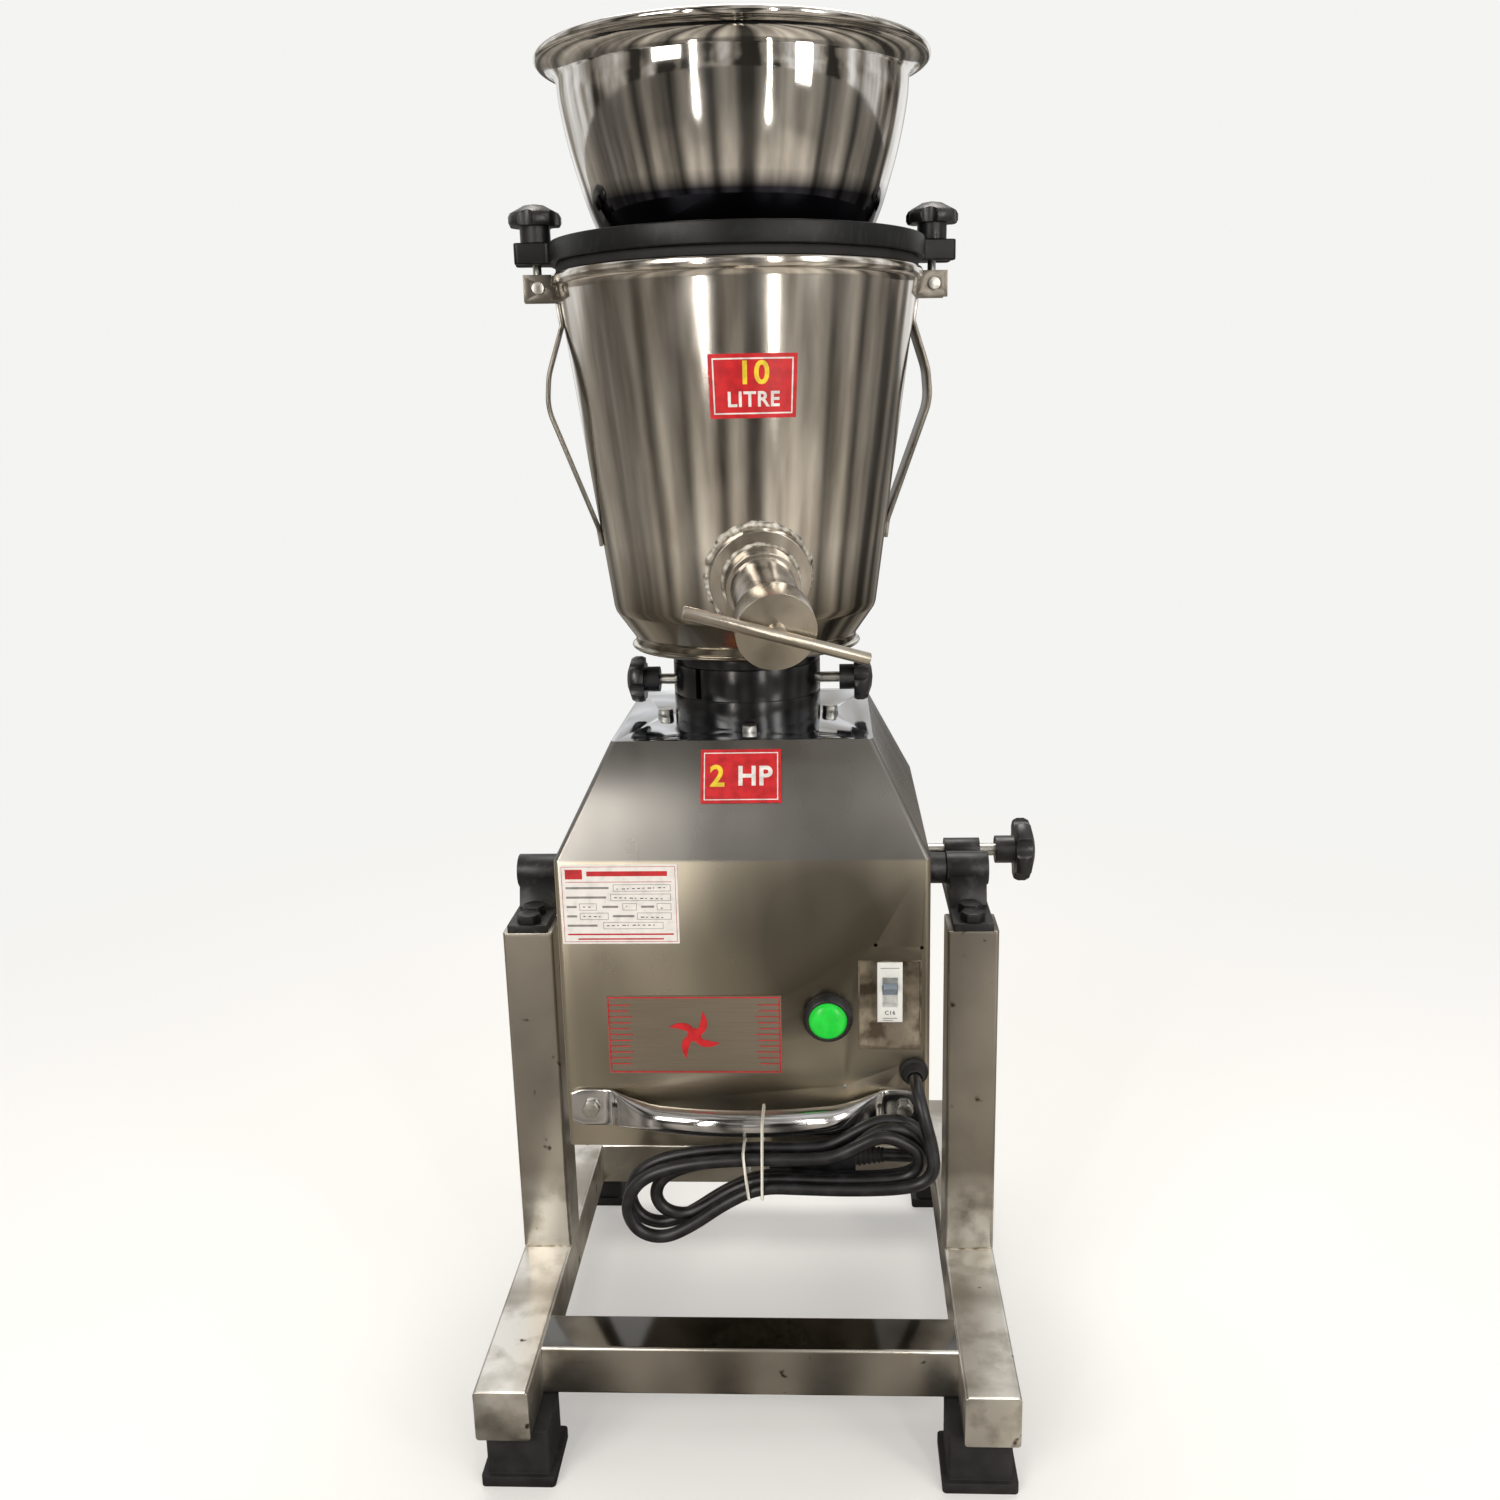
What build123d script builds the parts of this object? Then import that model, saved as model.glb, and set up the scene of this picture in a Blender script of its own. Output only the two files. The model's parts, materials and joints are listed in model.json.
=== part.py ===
"""Commercial tilting mixer grinder: a motor housing with a 10 litre jar, hung on trunnions in a tube stand.

All sizes are millimetres. The model is built about the machine's own axis (the line through motor and jar):
X runs to the operator's right, Y runs away from the operator, Z is up and the floor is Z = 0.
Every piece is moved by (AXIS_X, AXIS_Y) as it is written, which puts the origin at the bottom centre of the
machine's box without its cord.
"""
import os
from math import atan2, cos, degrees, hypot, pi, radians, sin, tan

from build123d import *

# ---------------------------------------------------------------- stand
TUBE = 38.0                     # square stainless tube
TUBE_WALL = 2.0
TUBE_CORNER = 2.5
STAND_WIDTH = 372.0             # over the outer faces of the two posts
FOOT_HEIGHT = 42.0
POST_HEIGHT = 266.0
POST_Y = -40.0                  # the posts stand a little in front of the trunnion line
RUNNER_FRONT = 231.0            # from the machine axis to the front end of a runner
RUNNER_REAR = 185.0
CROSSBAR_INSET = 48.0           # from a runner's end to the near face of a crossbar
PLATE_THICK = 3.0               # post caps and runner end plates
FOOT_BLOCK = 44.0
FOOT_LIP = 52.0
FOOT_LIP_HEIGHT = 8.0
FOOT_SETBACK = 5.0

# ---------------------------------------------------------------- trunnions
PIVOT_RISE = 30.0               # trunnion axis above the post cap
PEDESTAL_WIDTH = 30.0
PEDESTAL_THICK = 6.0
PEDESTAL_LENGTH = 108.0
PEDESTAL_BOLT = 10.0
PEDESTAL_BOLT_SPAN = 19.0
BOLT_PLAY = 0.3
HUB_OUTER = 26.0
HUB_LENGTH = 32.0
BUSH_OUTER = 20.0
SHAFT_DIAMETER = 16.0
SHAFT_PLAY = 0.05               # radial running clearance
SHOULDER_DIAMETER = 24.0
SHOULDER_GAP = 0.6
TRUNNION_FLANGE = 52.0
TRUNNION_FLANGE_THICK = 4.0
TRUNNION_BOLT_RADIUS = 19.0

# ---------------------------------------------------------------- housing
HOUSING_WIDTH = 260.0
HOUSING_DEPTH = 256.0
HOUSING_DROP = 167.0            # trunnion axis down to the housing's lower edge
SIDE_HEIGHT = 216.0
HIP_HEIGHT = 76.0               # sloped band between the sides and the top plate
TOP_WIDTH = 184.0
TOP_DEPTH = 183.0
SHEET = 1.5
HOUSING_CORNER = 4.0
REAR_COVER_WIDTH = 200.0
REAR_COVER_HEIGHT = 170.0
VENT_SLOTS = 7
VENT_PITCH = 14.0

# ---------------------------------------------------------------- neck collar and jar lock
COLLAR_OUTER = 110.0
COLLAR_BORE = 80.0
COLLAR_HEIGHT = 42.0
COLLAR_SLIT = 5.0
JAR_SEAT = 54.0                 # top plate up to the underside of the jar
SPIGOT_PLAY = 0.3
SPIGOT_DEPTH = 30.0
LOCK_HEIGHT = 27.0              # jar lock screw axis above the top plate
LOCK_REACH_LEFT = 11.0          # collar wall to the near end of the knob's hub
LOCK_REACH_RIGHT = 14.5
TIP_GAP = 0.3
THREAD_PLAY = 0.08

# ---------------------------------------------------------------- jar
JAR_TURN = 9.0                  # the jar stands turned a few degrees on its collar
JAR_BASE_RADIUS = 82.0
JAR_BASE_BAND = 8.0
JAR_BASE_LIP = 3.0              # rolled lip standing out round the jar's foot
JAR_CHAMFER_HEIGHT = 29.0
JAR_LOWER_RADIUS = 96.6
JAR_TOP_RADIUS = 127.5
JAR_HEIGHT = 263.0
JAR_WALL = 1.6
JAR_RIM_RADIUS = 130.0
JAR_RIM_HEIGHT = 7.0
HANDLE_WIDTH = 20.0
STRAP = 3.0

# ---------------------------------------------------------------- outlet
OUTLET_HEIGHT = 61.0            # outlet axis above the jar's underside, at the jar's wall
OUTLET_DROOP = 15.0             # degrees below level
FLANGE_RADIUS = 34.5
SPOUT_RADIUS = 25.0
SPOUT_NECK_RADIUS = 21.5
SPOUT_BORE = 18.0
SPOUT_REACH = 88.0              # jar wall to the spout's mouth
CAP_RADIUS = 25.5
CAP_LENGTH = 20.0
CAP_FLOOR = 3.0
WASHER_THICK = 1.6
TEE_STAND_OFF = 5.0              # cap's face to the tee bar's axis
BOSS_RADIUS = 6.5                # low saddle on the cap's face that the tee bar is welded into
TEE_LENGTH = 121.0
TEE_DIAMETER = 8.0
TEE_ANGLE = -17.5

# ---------------------------------------------------------------- lid, clamps and feed bowl
LID_RADIUS = 131.2
LID_THICK = 14.0
LID_GAP = 6.5                   # jar top to the lid's underside, filled by the gasket
BOWL_SEAT_RADIUS = 92.0
BOWL_WALL_RADIUS = 120.0
BOWL_RIM_RADIUS = 134.6
BOWL_HEIGHT = 119.0             # above the lid's top face
BOWL_WALL = 1.2
BOWL_SINK = 22.0                # depth of the bowl's bottom below the lid's top face
THROAT_RADIUS = 30.0
SEAT_GAP = 0.3
CLAMP_RADIUS = 139.6            # machine axis to a swing bolt's axis
EAR_WIDTH = 26.0
EAR_END = 154.5
BOLT_DIAMETER = 6.0
PIN_DIAMETER = 6.0
EYE_DIAMETER = 12.0
LUG_GAP = 10.0                  # between a lug's two plates
LUG_DROP = 9.0                  # jar top down to the clamp pin
LUG_HEIGHT = 18.0
LUG_END = 149.5

# ---------------------------------------------------------------- knobs
LID_KNOB = dict(star=37.0, hub=21.0, hub_length=11.0, head=8.5, dome=6.5, bore=BOLT_DIAMETER, depth=16.0)
JAR_KNOB = dict(star=35.0, hub=19.0, hub_length=11.0, head=10.0, dome=4.0, bore=8.0, depth=18.0)
TILT_KNOB = dict(star=50.0, hub=22.0, hub_length=15.0, head=12.0, dome=4.5, bore=10.0, depth=22.0)
KNOB_LOBES = 5
TILT_LOCK_Y = 35.0              # behind the trunnion axis
TILT_LOCK_RISE = 3.5
TILT_BUSH_OUTER = 19.0
TILT_BUSH_LENGTH = 28.0
TILT_KNOB_REACH = 12.5          # end of the threaded bush to the knob's hub

# ---------------------------------------------------------------- front panel fittings
HANDLE_BOLT_SPAN = 224.0
HANDLE_BOLT_RISE = 31.0         # above the housing's lower edge
HANDLE_TUBE = 18.5               # round tube, flattened at its bolted ends
HANDLE_FLAT = 28.0
HANDLE_TAB = 26.0                # flat end, bolted through its middle
HANDLE_STAND_OFF = 20.5          # panel to the back of the tube at its middle
HANDLE_LIFT = 2.5
HANDLE_SHARES = (                # distance in from the bolt, how round the tube is, and how far it stands off
    (12, 0.0, 0.0), (20, 0.25, 0.10), (30, 0.60, 0.24), (40, 0.86, 0.40), (50, 1.0, 0.55),
    (64, 1.0, 0.73), (80, 1.0, 0.88), (96, 1.0, 0.97))
LAMP_X = 58.5
LAMP_RISE = 101.0
LAMP_BEZEL = 35.0
LAMP_LENS = 26.0
BREAKER_X = 102.0
BREAKER_RISE = 119.0
BREAKER_WIDTH = 17.6
BREAKER_HEIGHT = 45.0
RECESS_WIDTH = 44.0
RECESS_HEIGHT = 47.0
RECESS_LIP = 20.0
RECESS_DEPTH = 9.0
GLAND_X = 119.0
GLAND_RISE = 59.0
LABEL_THICK = 0.4
POWER_LABEL = (56.0, 38.0)      # width and height of the labels and plates
RATING_PLATE = (82.0, 58.0)
RATING_INSET = 45.0             # housing's left side to the plate's middle
RATING_DROP = 31.0              # shoulder down to the plate's middle
BADGE_PLATE = (124.0, 60.0)
BADGE_X = -36.0
BADGE_RISE = 87.0
GLAND_LENGTH = 12.0
CORD_DIAMETER = 9.0
HANK_FRONT = 50.0               # panel out to the hank's front
HANK_THICK = 26.0
WAIST_DROP = 12.0                # handle's middle down to the hank's tied waist
WAIST_HEIGHT = 32.0
PLUG_LENGTH = 46.0
TIE_WIDTH = 3.0

# ---------------------------------------------------------------- motor and drive
MOTOR_OUTER = 150.0
MOTOR_INNER = 140.0
MOTOR_LENGTH = 150.0
MOTOR_DROP = 42.0               # top plate down to the stator shell
SHIELD_THICK = 12.0
STATOR_BORE = 90.0
STATOR_STACK = 100.0
AIR_GAP = 0.6
SHAFT_OUTER = 20.0
BEARING_OUTER = 47.0
BEARING_WIDTH = 12.0
FAN_RADIUS = 58.0
COUPLING_RADIUS = 20.0
COUPLING_DISC = 8.0
DOG_HEIGHT = 6.0
DOG_ANGLE = 50.0
BLADE_SHAFT = 12.0
BLADE_SPAN = 150.0
BLADE_THICK = 2.5

# ---------------------------------------------------------------- derived places
post_top = FOOT_HEIGHT + TUBE + POST_HEIGHT
pivot_z = post_top + PIVOT_RISE
post_x = STAND_WIDTH / 2 - TUBE / 2
housing_bottom = pivot_z - HOUSING_DROP
shoulder_z = housing_bottom + SIDE_HEIGHT
top_z = shoulder_z + HIP_HEIGHT
panel_y = -HOUSING_DEPTH / 2
side_x = HOUSING_WIDTH / 2
collar_top = top_z + COLLAR_HEIGHT
jar_base = top_z + JAR_SEAT
jar_top = jar_base + JAR_HEIGHT
lid_bottom = jar_top + LID_GAP
lid_top = lid_bottom + LID_THICK
lock_z = top_z + LOCK_HEIGHT
pin_z = jar_top - LUG_DROP
handle_z = housing_bottom + HANDLE_BOLT_RISE
tilt_lock_z = pivot_z + TILT_LOCK_RISE
tilt_bush_end = post_x - PEDESTAL_WIDTH / 2 + TILT_BUSH_LENGTH
tilt_knob_x = tilt_bush_end + TILT_KNOB_REACH
knob_end = tilt_knob_x + TILT_KNOB["hub_length"] + TILT_KNOB["head"] + TILT_KNOB["dome"]
AXIS_X = (STAND_WIDTH / 2 - knob_end) / 2
AXIS_Y = (RUNNER_FRONT - RUNNER_REAR) / 2

HANDLE_SECTIONS = [(-HANDLE_BOLT_SPAN / 2 + inward, *shares) for inward, *shares in HANDLE_SHARES]
HANDLE_SECTIONS += [(-x, *shares) for x, *shares in reversed(HANDLE_SECTIONS)]
LOW = (Align.CENTER, Align.CENTER, Align.MIN)
os.makedirs("parts", exist_ok=True)


def save(name, shape):
    """Write one node, moved from the machine axis to the part's origin."""
    export_step(Pos(AXIS_X, AXIS_Y, 0) * shape, f"parts/{name}.step")


def group(pieces):
    """Separate solids in one node."""
    return Compound([solid for piece in pieces for solid in piece.solids()])


def rod(radius, z_low, z_high):
    return Pos(0, 0, z_low) * Cylinder(radius, z_high - z_low, align=LOW)


def ring(outer, inner, z_low, z_high):
    return rod(outer, z_low, z_high) - rod(inner, z_low - 1, z_high + 1)


def along_x(piece, x, y, z, side=1):
    """Lay a piece that was built up the Z axis along X, away from the machine on the given side."""
    return Pos(x, y, z) * Rot(0, 90 * side, 0) * piece


def along_front(piece, x, y, z):
    """Lay a piece that was built up the Z axis towards the operator."""
    return Pos(x, y, z) * Rot(90, 0, 0) * piece


def lathe(points):
    """Turn a closed outline of (radius, height) points about the Z axis."""
    outline = make_face(Plane.XZ * Polyline(*points, close=True))
    return revolve(outline, Axis.Z)


def hex_bolt(size, across, head, length):
    """Hex head on Z = 0 and up, shank below."""
    top = extrude(RegularPolygon(across / 2, 6, major_radius=False), head)
    top &= lathe([(0, 0), (across * 0.58, 0), (across * 0.58, head * 0.7), (across * 0.5, head), (0, head)])
    return top + rod(size / 2, -length, 0)


def star_knob(star, hub, hub_length, head, dome, bore, depth):
    """Moulded knob with a scalloped, domed head on a hub; Z = 0 is the hub's open end."""
    rim = hub_length + head
    body = lathe([(0, 0), (hub / 2, 0), (hub / 2, hub_length), (star * 0.47, hub_length),
                  (star / 2, hub_length + head * 0.25), (star / 2, rim - head * 0.3), (star * 0.46, rim),
                  (star * 0.2, rim + dome * 0.8), (0, rim + dome)])
    scallop = star * 0.17
    reach = star / 2 + scallop * 0.35
    for lobe in range(KNOB_LOBES):
        angle = radians(360 / KNOB_LOBES * (lobe + 0.5))
        cut = Pos(reach * cos(angle), reach * sin(angle), hub_length - 0.5)
        body -= cut * Cylinder(scallop, head + dome + 2, align=LOW)
    return body - rod(bore / 2 + THREAD_PLAY, -1, depth)


# ================================================================ stand
def square_tube(length):
    """Square tube up the Z axis from Z = 0."""
    outside = extrude(RectangleRounded(TUBE, TUBE, TUBE_CORNER), length)
    inside = TUBE - 2 * TUBE_WALL
    return outside - extrude(RectangleRounded(inside, inside, TUBE_CORNER - TUBE_WALL), length)


def build_stand():
    """Two posts, two runners and two crossbars; posts and runners are closed by welded plates."""
    runner_z = FOOT_HEIGHT + TUBE / 2
    runner_length = RUNNER_FRONT + RUNNER_REAR - 2 * PLATE_THICK
    bar_length = STAND_WIDTH - 2 * TUBE
    cap = extrude(RectangleRounded(TUBE, TUBE, TUBE_CORNER), PLATE_THICK)
    end_plate = Rot(90, 0, 0) * cap
    for bolt_y in pedestal_bolt_places():
        cap -= Pos(0, bolt_y - POST_Y, 0) * rod(PEDESTAL_BOLT / 2 + BOLT_PLAY, -1, PLATE_THICK + 1)
    posts, runners = [], []
    for side in (-1, 1):
        x = side * post_x
        posts.append(Pos(x, POST_Y, FOOT_HEIGHT + TUBE) * square_tube(POST_HEIGHT - PLATE_THICK))
        posts.append(Pos(x, POST_Y, post_top - PLATE_THICK) * cap)
        runners.append(Pos(x, -RUNNER_FRONT + PLATE_THICK, runner_z) * Rot(-90, 0, 0) * square_tube(runner_length))
        runners.append(Pos(x, -RUNNER_FRONT + PLATE_THICK, runner_z) * end_plate)
        runners.append(Pos(x, RUNNER_REAR, runner_z) * end_plate)
    save("stand_posts", group(posts))
    save("stand_runners", group(runners))
    bar = Rot(0, 90, 0) * square_tube(bar_length)
    front_y = -RUNNER_FRONT + CROSSBAR_INSET + TUBE / 2
    rear_y = RUNNER_REAR - CROSSBAR_INSET - TUBE / 2
    save("stand_crossbars", group([Pos(-bar_length / 2, y, runner_z) * bar for y in (front_y, rear_y)]))


def pedestal_bolt_places():
    """Two bolts through each post cap, one before the other."""
    return (POST_Y - PEDESTAL_BOLT_SPAN / 2, POST_Y + PEDESTAL_BOLT_SPAN / 2)


def build_feet():
    """Rubber blocks with a wider lip, bonded under the ends of the runners."""
    foot = extrude(RectangleRounded(FOOT_LIP, FOOT_LIP, 3), FOOT_LIP_HEIGHT)
    foot += Pos(0, 0, FOOT_LIP_HEIGHT) * extrude(RectangleRounded(FOOT_BLOCK, FOOT_BLOCK, 3),
                                                 FOOT_HEIGHT - FOOT_LIP_HEIGHT)
    foot_x = STAND_WIDTH / 2 - FOOT_LIP / 2
    front_y = -RUNNER_FRONT + FOOT_SETBACK + FOOT_LIP / 2
    rear_y = RUNNER_REAR - FOOT_SETBACK - FOOT_LIP / 2
    feet = [Pos(side * foot_x, y, 0) * foot for side in (-1, 1) for y in (front_y, rear_y)]
    save("rubber_feet", group(feet))


# ================================================================ trunnion pedestals
def build_pedestals():
    plate_front = POST_Y - TUBE / 2
    plate_mid = plate_front + PEDESTAL_LENGTH / 2
    saddle_height = PIVOT_RISE - PEDESTAL_THICK
    bolts, bushes = [], []
    for side, word in ((-1, "left"), (1, "right")):
        plate = Pos(side * post_x, plate_mid, post_top) * Box(PEDESTAL_WIDTH, PEDESTAL_LENGTH, PEDESTAL_THICK, align=LOW)
        saddle_outline = Polyline((-HUB_OUTER * 0.72, 0), (HUB_OUTER * 0.72, 0),
                                  (HUB_OUTER * 0.45, saddle_height), (-HUB_OUTER * 0.45, saddle_height), close=True)
        saddle = extrude(Plane.YZ * make_face(saddle_outline), HUB_LENGTH / 2 - 2, both=True)
        saddle = Pos(side * post_x, 0, post_top + PEDESTAL_THICK) * saddle
        hub = along_x(rod(HUB_OUTER / 2, -HUB_LENGTH / 2, HUB_LENGTH / 2), side * post_x, 0, pivot_z)
        bore = along_x(rod(BUSH_OUTER / 2, -HUB_LENGTH, HUB_LENGTH), side * post_x, 0, pivot_z)
        pedestal = plate + saddle + hub - bore
        if side > 0:
            bush_mid = tilt_bush_end - TILT_BUSH_LENGTH / 2
            tower = Pos(bush_mid, TILT_LOCK_Y, post_top + PEDESTAL_THICK) * Box(
                TILT_BUSH_LENGTH - 6, TILT_BUSH_OUTER * 0.6, tilt_lock_z - post_top - PEDESTAL_THICK, align=LOW)
            bush = along_x(rod(TILT_BUSH_OUTER / 2, 0, TILT_BUSH_LENGTH),
                           tilt_bush_end - TILT_BUSH_LENGTH, TILT_LOCK_Y, tilt_lock_z)
            screw_hole = along_x(rod(TILT_KNOB["bore"] / 2 + THREAD_PLAY, -20, TILT_BUSH_LENGTH + 20),
                                 tilt_bush_end - TILT_BUSH_LENGTH, TILT_LOCK_Y, tilt_lock_z)
            pedestal = pedestal + tower + bush - screw_hole
        hole = rod(PEDESTAL_BOLT / 2 + BOLT_PLAY, post_top - 1, post_top + PEDESTAL_THICK + 1)
        bolt = hex_bolt(PEDESTAL_BOLT, 16, 6.5, PEDESTAL_THICK + PLATE_THICK + 8)
        for bolt_y in pedestal_bolt_places():
            pedestal -= Pos(side * post_x, bolt_y, 0) * hole
            bolts.append(Pos(side * post_x, bolt_y, post_top + PEDESTAL_THICK) * bolt)
        save(f"pedestal_{word}", pedestal)
        sleeve = ring(BUSH_OUTER / 2, SHAFT_DIAMETER / 2 + SHAFT_PLAY, -HUB_LENGTH / 2, HUB_LENGTH / 2)
        bushes.append(along_x(sleeve, side * post_x, 0, pivot_z))
    save("pedestal_bolts", group(bolts))
    save("pivot_bushes", group(bushes))


def flange_corners():
    """Turns of the four bolts in a trunnion's flange."""
    return [Rot(0, 0, 45 + 90 * corner) * Pos(TRUNNION_BOLT_RADIUS, 0, 0) for corner in range(4)]


def build_trunnions():
    """Flanged stub shafts on the housing's sides, turning in the pedestal bushes."""
    flange_x = side_x - SHEET - TRUNNION_FLANGE_THICK
    neck_length = post_x - HUB_LENGTH / 2 - SHOULDER_GAP - flange_x
    shaft_length = post_x + HUB_LENGTH / 2 - 1 - flange_x
    stub = rod(TRUNNION_FLANGE / 2, 0, TRUNNION_FLANGE_THICK)
    stub += rod(SHOULDER_DIAMETER / 2, 0, neck_length) + rod(SHAFT_DIAMETER / 2, 0, shaft_length)
    bolts = []
    for corner in flange_corners():
        stub -= corner * rod(2.5 + BOLT_PLAY, -1, TRUNNION_FLANGE_THICK + 1)
        bolts.append(Pos(0, 0, TRUNNION_FLANGE_THICK + SHEET) * corner
                     * hex_bolt(5, 8, 3.5, SHEET + TRUNNION_FLANGE_THICK))
    save("trunnions", group([along_x(stub, side * flange_x, 0, pivot_z, side) for side in (-1, 1)]))
    return [along_x(bolt, side * flange_x, 0, pivot_z, side) for side in (-1, 1) for bolt in bolts]


# ================================================================ housing
def housing_solid(inset):
    """Box with a hipped top, drawn in by the sheet's thickness for its inside."""
    width, depth = HOUSING_WIDTH - 2 * inset, HOUSING_DEPTH - 2 * inset
    corner = HOUSING_CORNER - inset * 0.9
    slope = (HOUSING_WIDTH - TOP_WIDTH) / 2 / HIP_HEIGHT
    shoulder = shoulder_z - inset * (hypot(1, slope) - 1) / slope
    top = top_z - inset
    pull_in = slope * (top - shoulder)
    block = Pos(0, 0, housing_bottom - inset) * extrude(
        RectangleRounded(width, depth, corner), shoulder - housing_bottom + inset)
    low = Pos(0, 0, shoulder) * RectangleRounded(width, depth, corner)
    high = Pos(0, 0, top) * RectangleRounded(width - 2 * pull_in, depth - 2 * pull_in, corner)
    return block + loft([low.face(), high.face()])


def panel_hole(diameter, x, rise):
    return along_front(rod(diameter / 2, -6, 6), x, panel_y, housing_bottom + rise)


def build_housing():
    shell = housing_solid(0) - housing_solid(SHEET)
    shell -= rod(COLLAR_BORE / 2 - 6, top_z - 6, top_z + 6)
    for angle in collar_bolt_angles():
        shell -= Rot(0, 0, angle) * Pos(collar_bolt_radius, 0, 0) * rod(3.3, top_z - 6, top_z + 6)
    for side in (-1, 1):
        shell -= along_x(rod(SHOULDER_DIAMETER / 2 + 0.2, -10, 10), side * side_x, 0, pivot_z)
        for corner in flange_corners():
            shell -= along_x(corner * rod(2.5 + BOLT_PLAY, -10, 10), side * side_x, 0, pivot_z)
    for x in (-HANDLE_BOLT_SPAN / 2, HANDLE_BOLT_SPAN / 2):
        shell -= panel_hole(6.6, x, HANDLE_BOLT_RISE)
    shell -= panel_hole(LAMP_LENS - 4, LAMP_X, LAMP_RISE)
    shell -= panel_hole(CORD_DIAMETER + 7, GLAND_X, GLAND_RISE)
    shell -= Pos(BREAKER_X, panel_y, housing_bottom + BREAKER_RISE - RECESS_LIP / 2) * Box(
        RECESS_WIDTH + 0.2, 12, RECESS_HEIGHT + RECESS_LIP + 0.2)
    for x, rise in ((-10, 154), (22, 152), (-32, 47), (22, 47), (-22, 26)):
        shell -= panel_hole(2.6, BREAKER_X + x, rise)
    opening = Box(REAR_COVER_WIDTH - 16, 12, REAR_COVER_HEIGHT - 16)
    shell -= Pos(0, -panel_y, rear_cover_z) * opening
    save("housing_shell", shell)


rear_cover_z = housing_bottom + SIDE_HEIGHT * 0.5
collar_bolt_radius = COLLAR_OUTER / 2 + 7.5


def collar_bolt_angles():
    return [90 * corner + 4 for corner in range(4)]


def build_covers():
    """Louvred rear cover, and a perforated bottom cover that closes the housing."""
    rear_face = -panel_y
    cover = Pos(0, rear_face + SHEET / 2, rear_cover_z) * Box(REAR_COVER_WIDTH, SHEET, REAR_COVER_HEIGHT)
    for row in range(VENT_SLOTS):
        z = rear_cover_z + (row - (VENT_SLOTS - 1) / 2) * VENT_PITCH
        for x in (-REAR_COVER_WIDTH * 0.22, REAR_COVER_WIDTH * 0.22):
            cover -= Pos(x, rear_face, z) * Rot(90, 0, 0) * extrude(SlotOverall(REAR_COVER_WIDTH * 0.36, 5), 8, both=True)
    screws = []
    for x in (-1, 1):
        for z in (-1, 1):
            place = Pos(x * (REAR_COVER_WIDTH / 2 - 4), rear_face, rear_cover_z + z * (REAR_COVER_HEIGHT / 2 - 4))
            cover -= place * Rot(-90, 0, 0) * rod(2.2, -4, 4)
            screws.append(place * Rot(-90, 0, 0) * (rod(2, 0, SHEET) + Pos(0, 0, SHEET) * lathe(
                [(0, 0), (4, 0), (3.6, 1.6), (2, 2.6), (0, 2.8)])))
    save("rear_cover", cover)
    inner_width, inner_depth = HOUSING_WIDTH - 2 * SHEET, HOUSING_DEPTH - 2 * SHEET
    bottom = Pos(0, 0, housing_bottom + 1) * Box(inner_width - 0.6, inner_depth - 0.6, SHEET, align=LOW)
    bottom &= Pos(0, 0, housing_bottom) * extrude(RectangleRounded(inner_width - 0.6, inner_depth - 0.6, 2.5), 10)
    for ring_radius in (18, 34, 50):
        holes = round(2 * pi * ring_radius / 16)
        for hole in range(holes):
            bottom -= Rot(0, 0, 360 / holes * hole) * Pos(ring_radius, 0, 0) * rod(
                4, housing_bottom - 5, housing_bottom + 10)
    save("bottom_cover", bottom)
    return screws


def build_collar():
    collar = ring(COLLAR_OUTER / 2, COLLAR_BORE / 2, top_z, collar_top)
    groove = ring(COLLAR_OUTER / 2 + 1, COLLAR_OUTER / 2 - 0.8, top_z + 18.4, top_z + 19.8)
    collar -= groove
    slit_angle = 233
    collar -= Rot(0, 0, slit_angle) * Pos(COLLAR_OUTER / 2, 0, top_z + 20) * Box(
        COLLAR_OUTER / 2, COLLAR_SLIT, COLLAR_HEIGHT, align=LOW)
    for side in (-1, 1):
        collar -= along_x(rod(JAR_KNOB["bore"] / 2 + THREAD_PLAY, 0, COLLAR_OUTER), 0, 0, lock_z, side)
    save("neck_collar", collar)


# ================================================================ screws with star knobs
def build_lock_screws():
    """Jar lock screws through the collar, and the tilt lock screw through its bush on the right pedestal."""
    for side, word, reach in ((-1, "left", LOCK_REACH_LEFT), (1, "right", LOCK_REACH_RIGHT)):
        tip = COLLAR_BORE / 2 - SPIGOT_PLAY + TIP_GAP
        hub = COLLAR_OUTER / 2 + reach
        stud = rod(JAR_KNOB["bore"] / 2, 0, hub + JAR_KNOB["depth"] - 3 - tip)
        save(f"jar_lock_stud_{word}", along_x(stud, side * tip, 0, lock_z, side))
        save(f"jar_lock_knob_{word}", along_x(star_knob(**JAR_KNOB), side * hub, 0, lock_z, side))
    tip = side_x + TIP_GAP
    stud = rod(TILT_KNOB["bore"] / 2, 0, tilt_knob_x + TILT_KNOB["depth"] - 3 - tip)
    save("tilt_lock_stud", along_x(stud, tip, TILT_LOCK_Y, tilt_lock_z))
    save("tilt_lock_knob", along_x(star_knob(**TILT_KNOB), tilt_knob_x, TILT_LOCK_Y, tilt_lock_z))


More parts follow.
